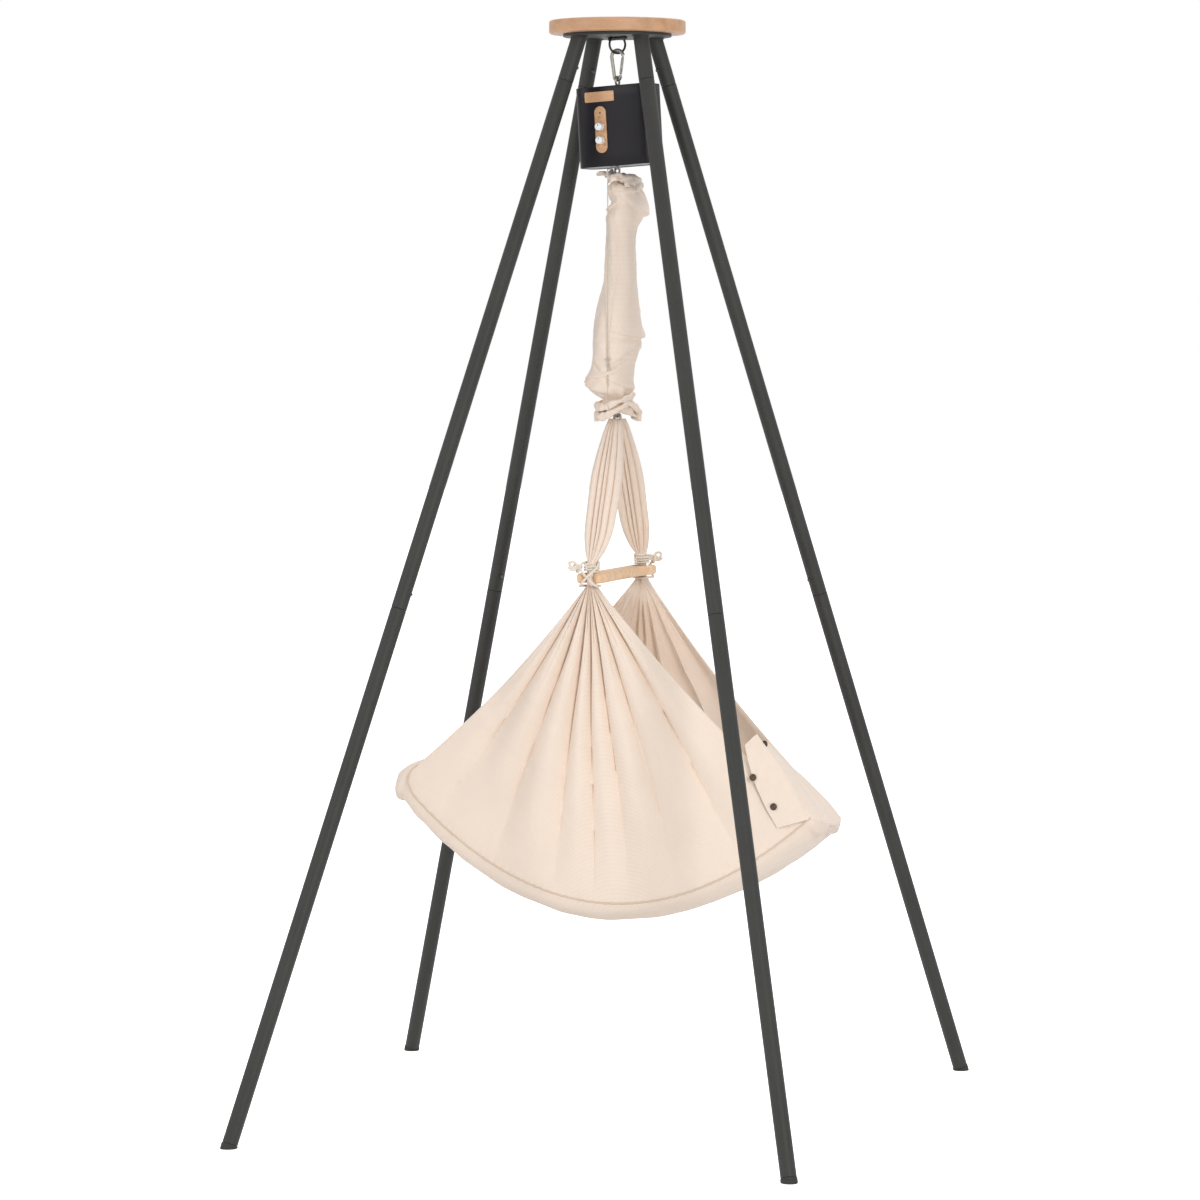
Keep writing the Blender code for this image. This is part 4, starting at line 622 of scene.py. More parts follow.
box_hook_z, hook_wire = 1.88345, 0.00325
snap_hook(
    "plated_upper_snap_hook",
    "plated_upper_gate",
    hub + (0, 0, box_hook_z),
    heading(-10),
    (0.0115, 0.0060, 0.0360),
    hook_wire,
    0.0026,
    ("upper_hook", "upper_gate"), ("upper_snap_hook", "upper_hook_gate"),
)


# Motor box: a rolled and seamed sheet-metal case, 148 by 72 by 145 mm, painted satin graphite, closed above
# and below by recessed covers. It hangs a little askew from its eye bolt, because the belt leaves it off
# the middle.
box_yaw, box_lean = math.radians(-7.0), math.radians(-3.4)
box_turn = Matrix.Rotation(box_yaw, 4, "Z") @ Matrix.Rotation(box_lean, 4, "Y")
box_ways = np.array(box_turn.to_3x3())
box_origin = hub + (0, 0, box_hook_z)
box_width, box_depth, box_height, box_corner, box_top = 0.148, 0.072, 0.145, 0.020, -0.012


def in_box(points):
    """Points given in the box's own frame (x along its face, y into it, z up), in the row frame."""
    return box_origin + np.asarray(points, float) @ box_ways.T


def rounded_outline(width, depth, corner, steps=12, straight=6):
    """Points round a rectangle with round corners, with extra points along its straight sides."""
    corners = []
    for turn, signs in enumerate(((1, 1), (-1, 1), (-1, -1), (1, -1))):
        angle = math.pi / 2 * (turn + np.linspace(0, 1, steps + 1))
        middle = np.array(signs) * (width / 2 - corner, depth / 2 - corner)
        corners.append(middle + corner * np.column_stack([np.cos(angle), np.sin(angle)]))
    outline = []
    for number, arc in enumerate(corners):
        after = corners[(number + 1) % 4][0]
        share = np.linspace(0, 1, straight + 2)[1:-1, None]
        outline += [arc, arc[-1] * (1 - share) + after * share]
    return np.concatenate(outline)


def satin_paint(name, colour, roughness):
    """Sprayed satin paint: a faint orange peel, and soft drifts of tone and gloss."""
    finish, tree, shader = new_finish(name, colour, roughness)
    shader.inputs["Specular IOR Level"].default_value = 0.13
    place = object_place(tree)
    peel, drift = noise(tree, place, 520, 2, 0.55), noise(tree, place, 16, 3, 0.6)
    tones = ((0.3, 0.90), (0.5, 1.0), (0.72, 1.12))
    vary(tree, shader, colour, drift, tones, drift, 0.14, roughness - 0.07, peel, 0.00006, 0.55)
    return finish


graphite = satin_paint("graphite_satin_paint", (0.016, 0.0145, 0.0175), 0.36)
case_low, case_wall, case_lip = box_top - box_height, 0.002, 0.0007
case_rings = [
    (0.0, case_low + case_lip), (0.0, case_low + 0.02), (0.0, box_top - 0.02), (0.0, box_top - case_lip),
    (case_lip * 0.3, box_top - case_lip * 0.3), (case_lip, box_top), (case_wall, box_top),
    (case_wall, case_low), (case_lip, case_low), (case_lip * 0.3, case_low + case_lip * 0.3),
]
case_points = []
for inset, height in case_rings:
    case_ring = rounded_outline(box_width - 2 * inset, box_depth - 2 * inset, box_corner - inset)
    case_points.append(np.insert(case_ring, 2, height, axis=1))
case_grid = in_box(np.array(case_points))
case = surface("painted_motor_case", case_grid, graphite, around=True, endless=True, ease=30)
fit(case, "motor_box", "motor_housing")

box_plastic = grained_finish(
    "black_moulded_plastic",
    (0.025, 0.025, 0.026),
    0.5,
    (1500, 2, 0.6),
    (0.3, (0.019, 0.019, 0.02)),
    (0.7, (0.034, 0.034, 0.035)),
    dents=(0.00005, 0.6),
)
board_green = grained_finish(
    "board_green",
    (0.02, 0.13, 0.05),
    0.4,
    (300, 2, 0.5),
    (0.45, (0.015, 0.10, 0.04)),
    (0.6, (0.04, 0.20, 0.08)),
)
for finish, node_names in (
    (graphite, ("housing_lid", "housing_base")),
    (zinc, ("motor_bracket", "gear_motor", "lift_hook")),
    (board_green, ("circuit_board",)),
    (box_plastic, ("winding_drum", "power_inlet")),
):
    for node_name in node_names:
        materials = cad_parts[node_name].data.materials
        for number in range(len(materials)):
            materials[number] = finish
        if not materials:
            materials.append(finish)


# Eye bolt: a forged steel eye with a flange, through the lid and the bracket under it, held by a nut.
eye_wire, eye_radius, eye_gap, eye_points = 0.0020, 0.0080, 0.0003, 72
flange_radius, stem_radius, stem_length = 0.0065, 0.0030, 0.013
eye_middle = hook_wire + eye_gap + eye_wire - eye_radius
eye_path = in_box(upright_circle((0, 0, eye_middle), eye_radius, (0, 1, 0), eye_points))
eye = swept("forged_eye", eye_path, eye_wire, zinc, box_ways[:, 0], closed=True)
fit(eye, "motor_box", "eye_bolt")
flange_top = eye_middle - eye_radius + eye_wire * 0.6
flange_low = box_top - 0.001 + 0.0002
stem_profile = [
    (0, flange_top + 0.0008), (0.0026, flange_top + 0.0006), (0.0034, flange_top),
    (0.0058, flange_top - 0.0003), (flange_radius, flange_top - 0.0010),
    (flange_radius, flange_low + 0.0004), (0.0061, flange_low), (stem_radius, flange_low),
    (stem_radius, flange_low - stem_length), (0, flange_low - stem_length),
]
eye_stem = turned("eye_flange_and_stem", stem_profile, zinc, in_box((0, 0, 0)), box_ways[:, 2], sides=48)
fit(eye_stem, "motor_box")


# Plates on the box's face: two slips of beech glued on, one bare and one bored for the two dials and the
# lamp. Scales and numbers are burnt into the second beside its turned white knobs.
plate_beech = beech_finish("plate_beech", (0.640, 0.375, 0.205), (0, 0.12, 0.12))
plates_x, face_y, plate_thick, plate_glue = -0.0210, -box_depth / 2, 0.0018, 0.0003


def face_plate(name, node_name, width, height, corner, middle_z):
    """A slip of wood on the box's face: a round-cornered outline carried over its thickness, edges eased."""
    layers = (
        (0.0, plate_glue), (0.0, plate_thick - 0.0003), (0.00025, plate_thick),
        (0.0012, plate_thick + 0.00002),
    )
    rows = []
    for inset, rise in layers:
        outline = rounded_outline(width - 2 * inset, height - 2 * inset, corner - inset, 8, 3)
        rows.append(np.insert(outline + (plates_x, middle_z), 1, face_y - rise, axis=1))
    plate = surface(name, in_box(np.array(rows)), plate_beech, around=True, capped=True, ease=40)
    fit(plate, "motor_box", node_name)


face_plate("bare_beech_plate", "name_plate", 0.058, 0.0185, 0.0022, -0.0305)
face_plate("beech_control_plate", "control_plate", 0.0225, 0.0845, 0.0112, -0.0900)

knob_white = grained_finish(
    "white_knob_plastic",
    (0.86, 0.86, 0.87),
    0.28,
    (350, 2, 0.6),
    (0.3, (0.80, 0.80, 0.81)),
    (0.6, (0.88, 0.88, 0.89)),
)
burnt_mark = grained_finish(
    "burnt_mark",
    (0.045, 0.022, 0.012),
    0.8,
    (900, 2, 0.6),
    (0.3, (0.03, 0.014, 0.008)),
    (0.7, (0.085, 0.042, 0.022)),
)
into_box = -box_ways[:, 1]
plate_face = face_y - plate_glue - plate_thick
mark_y, mark_thick = plate_face - 0.00006, 0.0002


def slab(corners, front, depth):
    """The eight corners of a thin bar on the box's face, from its four corners in (x, z)."""
    top = np.insert(np.array(corners), 1, front, axis=1)
    return in_box(np.concatenate([top, top + (0, depth, 0)]))


def burnt_bars(name, bars, body):
    """These bars as one piece."""
    sides = ((0, 1, 2, 3), (7, 6, 5, 4), (0, 4, 5, 1), (1, 5, 6, 2), (2, 6, 7, 3), (3, 7, 4, 0))
    faces = [[8 * number + corner for corner in side] for number in range(len(bars)) for side in sides]
    mesh = bpy.data.meshes.new(name)
    mesh.from_pydata(np.concatenate(bars).tolist(), [], faces)
    mesh.materials.append(burnt_mark)
    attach(add_object(name, mesh), body)


knob_length, knob_radius, knob_rib, knob_sides, knob_bore = 0.0125, 0.0066, 0.00022, 96, 0.0030
pointer_half, pointer_low, pointer_high = 0.0004, 0.0012, 0.0052
tick_half, tick_inner, tick_outer = 0.00022, 0.0078, 0.0092
knob_profile = [
    (0.0, knob_length - 0.0002), (0.0040, knob_length - 0.0001), (0.0054, knob_length),
    (0.0061, knob_length - 0.0003), (knob_radius, knob_length - 0.0011), (knob_radius, 0.0040),
    (knob_radius + 0.0002, 0.0030), (knob_radius + 0.0003, 0.0003), (knob_bore, 0.0003),
    (knob_bore, -0.008), (0.0, -0.008),
]
knob_ribs = np.array([0, 0, 0, 0.5, 1, 1, 0.3, 0, 0, 0, 0])[:, None] * knob_rib
knob_ribs = knob_ribs * np.cos(24 * full_turn(knob_sides))
scale_bars = []
for knob_name, knob_z in (("speed_knob", -0.0850), ("timer_knob", -0.1095)):
    knob_place, knob_body = in_box((plates_x, plate_face, knob_z)), knob_name.replace("_knob", "_control")
    knob_points = round_grid(knob_profile, knob_place, into_box, knob_sides, box_ways[:, 0], knob_ribs)
    knob = surface("ribbed_" + knob_name, knob_points, knob_white, around=True, ease=40)
    fit(knob, knob_body, knob_name)
    middle = np.array((plates_x, knob_z))
    low, high = middle + (0, pointer_low), middle + (0, pointer_high)
    half = (pointer_half, 0)
    pointer_front = plate_face - knob_length - 0.00012
    pointer = slab([low - half, low + half, high + half, high - half], pointer_front, 0.0003)
    burnt_bars(knob_name + "_pointer", [pointer], knob_body)
    for tick in np.radians(np.linspace(-135, 135, 7)):
        away = np.array((math.sin(tick), math.cos(tick)))
        aside = np.array((away[1], -away[0])) * tick_half
        inner, outer = middle + away * tick_inner, middle + away * tick_outer
        corners = [inner - aside, inner + aside, outer + aside, outer - aside]
        scale_bars.append(slab(corners, mark_y, mark_thick))
burnt_bars("dial_scale_marks", scale_bars, "motor_box")


def evaluated_copy(piece):
    """The piece's mesh as its modifiers leave it in the present frame, as a new mesh."""
    return bpy.data.meshes.new_from_object(piece.evaluated_get(bpy.context.evaluated_depsgraph_get()))


def points_of(mesh):
    """A mesh's points as rows of X, Y and Z."""
    flat = np.empty(len(mesh.vertices) * 3)
    mesh.vertices.foreach_get("co", flat)
    return flat.reshape(-1, 3)


for mark_name, text, x, z, height in (
    ("speed_scale_low", "1", -0.0068, -0.0948, 0.0026),
    ("speed_scale_high", "9", 0.0068, -0.0948, 0.0026),
    ("timer_scale_low", "0", -0.0068, -0.1192, 0.0026),
    ("timer_scale_high", "60", 0.0066, -0.1192, 0.0026),
    ("lamp_scale", "0 - 1", 0.0, -0.0680, 0.0028),
):
    figures = bpy.data.curves.new(mark_name, "FONT")
    figures.body, figures.size, figures.align_x, figures.extrude = text, height, "CENTER", 0.00008
    written = add_object(mark_name, figures)
    bpy.context.view_layer.update()
    mark_mesh = evaluated_copy(written)
    bpy.data.objects.remove(written, do_unlink=True)
    flat = points_of(mark_mesh)
    placed = in_box(np.column_stack([plates_x + x + flat[:, 0], mark_y - flat[:, 2], z + flat[:, 1]]))
    mark_mesh.vertices.foreach_set("co", placed.ravel())
    mark_mesh.materials.clear()
    mark_mesh.materials.append(burnt_mark)
    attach(add_object(mark_name, mark_mesh), "motor_box")

lamp_glass = grained_finish(
    "lamp_glass",
    (0.05, 0.04, 0.04),
    0.15,
    (700, 1, 0.5),
    (0.3, (0.04, 0.03, 0.03)),
    (0.7, (0.09, 0.06, 0.05)),
)
lens_profile = [(0, 0.0009), (0.0007, 0.0008), (0.0013, 0.0003), (0.0016, 0), (0.0016, -0.002), (0, -0.002)]
lamp_place = in_box((plates_x, plate_face, -0.0600))
fit(turned("status_lamp_lens", lens_profile, lamp_glass, lamp_place, into_box, sides=24), "motor_box")


# Belt, spring and rings: the motor winds a webbing belt, which carries a flat steel lift hook. The coil
# spring of 3 mm wire hangs in it, inside the sleeve, and ends in a loop that holds a small steel ring.
turn_cos, turn_sin = math.cos(box_yaw), math.sin(box_yaw)
lift_ways = np.array(((turn_cos, -turn_sin, 0), (turn_sin, turn_cos, 0), (0, 0, 1.0)))


def in_lift(points):
    """Points given in the frame of the belt and spring, which is turned with the box but stays upright."""
    return hub + np.asarray(points, float) @ lift_ways.T


def waves(tree, value, pitch):
    """A sine wave in a material, this long."""
    return reckon(tree, "SINE", reckon(tree, "MULTIPLY", value, 2 * math.pi / pitch))


webbing, webbing_tree, webbing_shader = new_finish(
    "cotton_webbing", (0.70, 0.62, 0.50), 0.85, sheen_weight=0.2
)
webbing_uv = add_node(webbing_tree, "UVMap", uv_map="cloth").outputs[0]
webbing_ways = add_node(webbing_tree, "SeparateXYZ", {0: webbing_uv}).outputs
webbing_ribs = waves(webbing_tree, webbing_ways[0], 0.0012)
webbing_picks = waves(webbing_tree, webbing_ways[1], 0.0011)
webbing_weave = reckon(webbing_tree, "MULTIPLY", webbing_ribs, webbing_picks)
# Painted shade: the colour runs darker where the ribs and picks dip, the same weave that makes the bump
webbing_level = reckon(webbing_tree, "MULTIPLY_ADD", webbing_weave, 0.5, 0.5)
webbing_painted_weave_shade = ramp(webbing_tree, webbing_level, (0.1, (0.56, 0.47, 0.36)), (0.6, (0.74, 0.66, 0.54)))
webbing_tree.links.new(webbing_painted_weave_shade, webbing_shader.inputs["Base Color"])
webbing_tree.links.new(bumped(webbing_tree, webbing_weave, 0.0002, 0.7), webbing_shader.inputs["Normal"])


def band(path, thick, edges):
    """Points of a flat band along a path in the XZ plane. Edges give each corner's side of it, and its Y."""
    way = np.gradient(path, axis=0)
    way /= np.linalg.norm(way, axis=1)[:, None]
    out = np.stack([way[:, 1], -way[:, 0]], -1) * thick / 2
    return np.stack([np.insert(path + side * out, 1, y, axis=1) for side, y in edges], 1)


drum_radius, belt_thick, belt_half = 0.0085, 0.0012, 0.005
belt_radius = drum_radius + 0.0003 + belt_thick / 2
drum_height, hook_top = 1.808876, 1.7235
belt_angle = np.radians(np.linspace(-100, 180, 40))
belt_fall = np.linspace(drum_height - 0.003, hook_top + 0.0003, 24)
belt_x = np.concatenate([belt_radius + belt_radius * np.cos(belt_angle), np.zeros(24)])
belt_z = np.concatenate([drum_height + belt_radius * np.sin(belt_angle), belt_fall])
belt_edges = ((-1, -belt_half), (1, -belt_half), (1, 0), (1, belt_half), (-1, belt_half), (-1, 0))
belt_grid = in_lift(band(np.stack([belt_x, belt_z], -1), belt_thick, belt_edges))
belt = surface("webbing_lift_belt", belt_grid, webbing, around=True, capped=True, ease=45)
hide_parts("lift_belt")
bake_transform(belt)

spring_radius, spring_wire, spring_turns, turn_points = 0.0120, 0.0015, 22, 24
coil_top, coil_bottom, loop_radius, loop_bottom = 1.636, 1.362, 0.0060, 1.3305
top_loop_middle = hook_top - 0.0215 + 0.0065 - 0.0030 + spring_wire + 0.0006 - loop_radius
low_loop_middle = loop_bottom + loop_radius


def end_loop(start, middle):
    """Seven eighths of a turn of the wire in the YZ plane, from start degrees, round this height."""
    turn = np.radians(start - 315 * np.linspace(0, 1, 30))
    return np.stack([0 * turn, loop_radius * np.cos(turn), middle + loop_radius * np.sin(turn)], -1)


neck_top = [(0, 0, top_loop_middle - loop_radius - 0.006), (0, 0, coil_top + 0.008)]
neck_low = [(0, 0, coil_bottom - 0.008), (0, 0, low_loop_middle + loop_radius + 0.005)]
coil_step = np.arange(spring_turns * turn_points + 1)
coil_grow = np.minimum(1, np.minimum(coil_step, coil_step[-1] - coil_step) / 12)
coil_reach = spring_radius * np.sin(coil_grow * math.pi / 2)
coil_turn = 2 * math.pi * coil_step / turn_points
coil_z = coil_top + (coil_bottom - coil_top) * coil_step / coil_step[-1]
coil = np.stack([coil_reach * np.cos(coil_turn), coil_reach * np.sin(coil_turn), coil_z], -1)
wire_line = [end_loop(225, top_loop_middle), neck_top, coil, neck_low, end_loop(90, low_loop_middle)]
spring_steel = plated_steel("spring_steel", (0.40, 0.38, 0.36), 0.30)
wire_path = in_lift(np.concatenate(wire_line))
spring = swept("coil_spring", wire_path, spring_wire, spring_steel, (0.31, 0.95, 0.05), sides=8)
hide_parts("main_spring")
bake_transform(spring)

lower_ring_radius, lower_ring_wire = 0.0090, 0.0015
lower_ring_path = upright_circle(hub + (0, 0, 1.3248), lower_ring_radius, heading(0), 64)
lower_ring = swept(
    "small_lower_ring", lower_ring_path, lower_ring_wire, zinc, heading(90), closed=True, sides=16
)
fit(lower_ring, "spring_end", "lower_ring")

lower_hook_z = 1.2721
snap_hook(
    "plated_lower_snap_hook",
    "plated_lower_gate",
    hub + (0, 0, lower_hook_z),
    heading(90),
    (0.0080, 0.0120, 0.0280),
    0.0025,
    0.0021,
    ("lower_hook", "lower_gate"), ("lower_snap_hook", "lower_hook_gate"),
)


# Spring sleeve: a tube of cream cotton round the spring, longer than the spring is, so that it bunches in
# soft folds. Elastic gathers it above and below, and its hems stand out as a frill at the top and a skirt
# at the bottom.
def cotton_finish(name, colour, pitch, weave_shade):
    """Cotton dobby cloth: small woven diamonds and their threads on the cloth's own UVs, in metres.

    The diamonds are the product of two sine waves that run both ways across the diagonal. They bump the
    cloth, and they also darken its colour in their hollows as painted shade, by weave_shade. Soft drifts of
    tone and a fine crumple lie over them.
    """
    finish, tree, shader = new_finish(name, colour, 0.9, sheen_weight=0.18, sheen_roughness=0.55)
    spot = add_node(tree, "UVMap", uv_map="cloth").outputs[0]
    split = add_node(tree, "SeparateXYZ", {0: spot}).outputs
    rising = waves(tree, reckon(tree, "ADD", split[0], split[1]), pitch)
    falling = waves(tree, reckon(tree, "SUBTRACT", split[0], split[1]), pitch)
    diamonds = reckon(tree, "MULTIPLY", rising, falling)
    drawn_out = add_node(tree, "Mapping", {0: spot, "Scale": (1.0, 0.35, 1.0)}).outputs[0]
    threads = noise(tree, drawn_out, 1900, 2, 0.6)
    place = object_place(tree)
    drift = reckon(tree, "MULTIPLY_ADD", noise(tree, place, 11, 3, 0.55), 0.22, 0.39)
    crumple = noise(tree, place, 90, 4, 0.55, 0.3)
    # Painted shade: the colour is darker where the woven diamonds dip, as much as weave_shade says, on top of
    # their bump below
    mixed = reckon(tree, "MULTIPLY_ADD", diamonds, 0.16 * weave_shade, drift)
    tone = reckon(tree, "MULTIPLY_ADD", threads, 0.30, mixed)
    cloth = ramp(tree, tone, (0.36, tint(colour, 0.80)), (0.66, colour), (0.94, tint(colour, 1.08)))
    tree.links.new(cloth, shader.inputs["Base Color"])
    base = bumped(tree, crumple, 0.0006, 0.30)
    weave = bumped(tree, diamonds, 0.00022, 0.55, base)
    tree.links.new(bumped(tree, threads, 0.00012, 0.5, weave), shader.inputs["Normal"])
    return finish


cotton = cotton_finish("cream_cotton", (0.905, 0.762, 0.640), 0.0046, 2.2)
view_across, view_towards = heading(18.0), heading(-72.0)
sleeve_table = np.array(
    [
        # height, middle and half width across the photograph's view
        (1.7050, 0.0000, 0.0096),
        (1.6990, 0.0020, 0.0112),
        (1.6920, 0.0105, 0.0260),
        (1.6840, 0.0125, 0.0300),
        (1.6700, 0.0190, 0.0310),
        (1.6600, 0.0220, 0.0310),
        (1.6480, 0.0190, 0.0330),
        (1.6360, 0.0140, 0.0340),
        (1.6200, 0.0095, 0.0290),
        (1.6000, 0.0068, 0.0272),
        (1.5600, 0.0064, 0.0278),
        (1.5200, 0.0060, 0.0290),
        (1.4700, 0.0020, 0.0380),
        (1.4400, 0.0010, 0.0420),
        (1.4100, 0.0000, 0.0440),
        (1.3850, -0.0040, 0.0415),
        (1.3650, -0.0080, 0.0400),
        (1.3430, -0.0115, 0.0410),
        (1.3250, -0.0125, 0.0405),
        (1.3110, -0.0055, 0.0320),
        (1.3030, 0.0000, 0.0265),
        (1.2930, 0.0005, 0.0330),
        (1.2760, 0.0000, 0.0395),
    ]
)


def read_curve(table, at):
    """The table's other columns at these places in its first, on a smooth curve through its rows."""
    table = table[np.argsort(table[:, 0])]
    places, values = table[:, 0], table[:, 1:]
    slope = np.gradient(values, places, axis=0)
    row = np.clip(np.searchsorted(places, at) - 1, 0, len(places) - 2)
    step = (places[row + 1] - places[row])[..., None]
    q = np.clip((at - places[row])[..., None] / step, 0, 1)
    return (
        (2 * q**3 - 3 * q**2 + 1) * values[row]
        + (q**3 - 2 * q**2 + q) * step * slope[row]
        + (3 * q**2 - 2 * q**3) * values[row + 1]
        + (q**3 - q**2) * step * slope[row + 1]
    )


def ripple(points, size, seed, waves=10):
    """A smooth random height at each point: sine waves in seeded random directions, each about size long."""
    draw = np.random.default_rng(seed)
    ways = draw.normal(size=(waves, 3))
    ways /= np.linalg.norm(ways, axis=1)[:, None]
    lengths = size * draw.uniform(0.7, 1.5, waves)
    phases = draw.uniform(0, 2 * math.pi, waves)
    return np.sin(points @ (ways / lengths[:, None]).T * 2 * math.pi + phases).sum(-1) / math.sqrt(waves / 2)


def fold_place(turn, height, at_turn, at_height, slant):
    """How far along a slanted fold, and how far above it, each point of the sleeve lies, in metres.

    The fold's middle is at a turn in degrees and a height, and slant is in degrees from level.
    """
    around = (np.degrees(turn) - at_turn + 180) % 360 - 180
    x, z, lean = np.radians(around) * 0.034, height - at_height, math.radians(slant)
    return x * math.cos(lean) + z * math.sin(lean), z * math.cos(lean) - x * math.sin(lean)


def roll(turn, height, at_turn, at_height, slant, length, width, depth, bow=0.0):
    """A roll of slack cloth that hangs over a sharp step along its lower side and fades out along its length.

    It is placed as fold_place() says, and bow bends its line.
    """
    along, off = fold_place(turn, height, at_turn, at_height, slant)
    off = off + bow * along**2
    step = 0.5 + 0.5 * np.tanh(off / 0.0011)
    under = np.exp(-((np.minimum(off, 0) / 0.006) ** 2)) * (1 - step)
    return depth * np.exp(-((along / length) ** 4)) * (step * np.exp(-((off / width) ** 2)) - 0.35 * under)


def groove(turn, height, at_turn, at_height, slant, length, width, depth):
    """A sharp valley with soft shoulders on the sleeve, placed as fold_place() says."""
    along, off = fold_place(turn, height, at_turn, at_height, slant)
    valley = 0.45 * np.exp(-((off / (2.6 * width)) ** 2)) - np.exp(-np.abs(off) / width)
    return depth * np.exp(-((along / length) ** 4)) * valley


# Each row: degrees round from the view's right, height, slant, length, width, depth, and a roll's bow
rolls_at = (
    (84, 1.6800, 3, 0.034, 0.0100, 0.0042, -5),
    (30, 1.6420, 19, 0.044, 0.0160, 0.0072, -3),
    (150, 1.6540, -26, 0.026, 0.0100, 0.0042, 4),
    (30, 1.4160, 6, 0.038, 0.0190, 0.0070, -3),
    (62, 1.3820, -32, 0.034, 0.0150, 0.0044, 4),
    (118, 1.3440, -17, 0.040, 0.0130, 0.0052, -6),
    (58, 1.3280, 22, 0.034, 0.0110, 0.0050, -4),
    (150, 1.3200, 24, 0.034, 0.0120, 0.0060, -6),
    (250, 1.6700, 8, 0.040, 0.0120, 0.0050),
    (215, 1.6420, -14, 0.034, 0.0120, 0.0045),
    (285, 1.4600, 12, 0.038, 0.0150, 0.0045, 4),
    (262, 1.4080, -9, 0.032, 0.0140, 0.0050, -4),
    (300, 1.3620, 15, 0.034, 0.0120, 0.0050),
    (225, 1.3380, 8, 0.036, 0.0110, 0.0050),
)
grooves_at = (
    (96, 1.6620, 34, 0.020, 0.0030, 0.0030),
    (84, 1.4130, 3, 0.024, 0.0040, 0.0050),
    (128, 1.4230, -8, 0.018, 0.0026, 0.0022),
    (40, 1.3960, -44, 0.030, 0.0050, 0.0064),
    (82, 1.3640, -34, 0.024, 0.0042, 0.0060),
    (134, 1.3600, 40, 0.022, 0.0040, 0.0058),
    (112, 1.3900, 70, 0.016, 0.0028, 0.0026),
    (92, 1.3260, 62, 0.020, 0.0026, 0.0030),
)


sleeve_columns, sleeve_rows = 176, 300
sleeve_turn = full_turn(sleeve_columns)[None, :]
sleeve_z = np.linspace(1.7050, 1.2960, sleeve_rows)[:, None]


def sleeve_shape(turn, height):
    """The sleeve's outer face: circles of the outline's width, gathered near the elastics, folded between."""
    outline = read_curve(sleeve_table, height[:, 0])
    middle, half = outline[:, :1], outline[:, 1:2]
    near_top = np.exp(-(((height - 1.7000) / 0.020) ** 2))
    near_low = np.exp(-(((height - 1.3030) / 0.022) ** 2))
    gathers = near_top * 0.0022 * np.cos(11 * turn + 1.3 * np.sin(2 * turn))
    gathers = gathers + near_low * 0.0032 * np.cos(9 * turn + 1.6 * np.sin(turn) + 130 * (height - 1.303))
    folds = sum(roll(turn, height, *row) for row in rolls_at)
    folds = folds + sum(groove(turn, height, *row) for row in grooves_at)
    level = 0 * height
    rounds = np.stack([0.03 * np.cos(turn) + level, 0.03 * np.sin(turn) + level, height + 0 * turn], -1)
    slack = 0.0008 * ripple(rounds * (1, 1, 0.45), 0.045, 7) + 0.0002 * ripple(rounds, 0.016, 8)
    long_folds = 0.0010 * np.cos(6 * turn + 0.8 * np.sin(30 * height))
    long_folds = long_folds * np.exp(-(((height - 1.54) / 0.09) ** 2))
    calm = 1 - np.exp(-(((height - 1.7010) / 0.007) ** 2)) - np.exp(-(((height - 1.3030) / 0.006) ** 2))
    reach = half + gathers * (0.45 + 0.55 * calm) + (folds + slack + long_folds) * np.clip(calm, 0, 1)
    # The front and back are a little flatter than the sides
    depth = reach * (1 - 0.06 * np.sin(turn) ** 2)
    return placed_round(np.stack([reach * np.cos(turn), depth * np.sin(turn), height + 0 * turn], -1), middle)


def frill_shape(turn, share, start, droop, seed, lobes, inner, outer, fall):
    """A gathered hem outside an elastic: it stands out from the gather in waves that grow to its edge."""
    wave = np.cos(lobes * turn + 1.1 * np.sin(turn + seed) + 0.8 * np.sin(3 * turn + 2 * seed))
    radius = inner + (outer - inner) * share**0.8 * (1 + 0.20 * np.cos(2 * turn + seed))
    radius = radius + 0.0045 * share * wave
    rise = start + droop * np.sin(share * math.pi * 0.62) - fall * share**3 * (0.5 + 0.5 * np.cos(turn - 0.5))
    flutter = np.cos(lobes * turn + 1.9 + 1.4 * np.sin(turn + seed))
    rise = rise + 0.0042 * share**1.2 * flutter - 0.0012 * share
    rounds = np.stack([np.cos(turn) * radius, np.sin(turn) * radius, rise + 0 * turn], -1)
    return rounds + 0.0010 * share[..., None] * ripple(rounds, 0.012, 30 + lobes)[..., None]


def placed_round(rounds, shift):
    """Points about the hub axis, with X across the photograph's view and Y towards it, in the row frame."""
    x, y, z = rounds[..., 0] + shift, rounds[..., 1], rounds[..., 2]
    return hub + x[..., None] * view_across + y[..., None] * view_towards + z[..., None] * upright


cloth_wall = 0.0012
frill_share = np.linspace(1, 0.02, 26)[:, None]
top_frill = frill_shape(sleeve_turn, frill_share, 1.7050, 0.0115, 0.4, 6, 0.0094, 0.0340, 0.026)
top_frill[..., 2] = np.minimum(top_frill[..., 2], 1.7205)
skirt_share = np.linspace(0.02, 1, 30)[:, None]
skirt_wave = np.cos(6 * sleeve_turn + 1.6 * np.sin(sleeve_turn) + 1.1 * skirt_share)
skirt_radius = 0.0255 + 0.0125 * skirt_share**0.7 + 0.0048 * skirt_share**0.8 * skirt_wave
skirt_z = 1.2960 - 0.0240 * skirt_share - 0.0080 * skirt_share * np.cos(2 * sleeve_turn + 0.2)
skirt = np.stack([np.cos(sleeve_turn) * skirt_radius, np.sin(sleeve_turn) * skirt_radius, skirt_z], -1)
skirt = skirt + 0.0010 * skirt_share[..., None] * ripple(skirt, 0.014, 44)[..., None] * (1, 1, 0.5)
sleeve_body = sleeve_shape(sleeve_turn, sleeve_z)
skirt_start = sleeve_body[-1] - placed_round(skirt[:1], 0.0)[0]
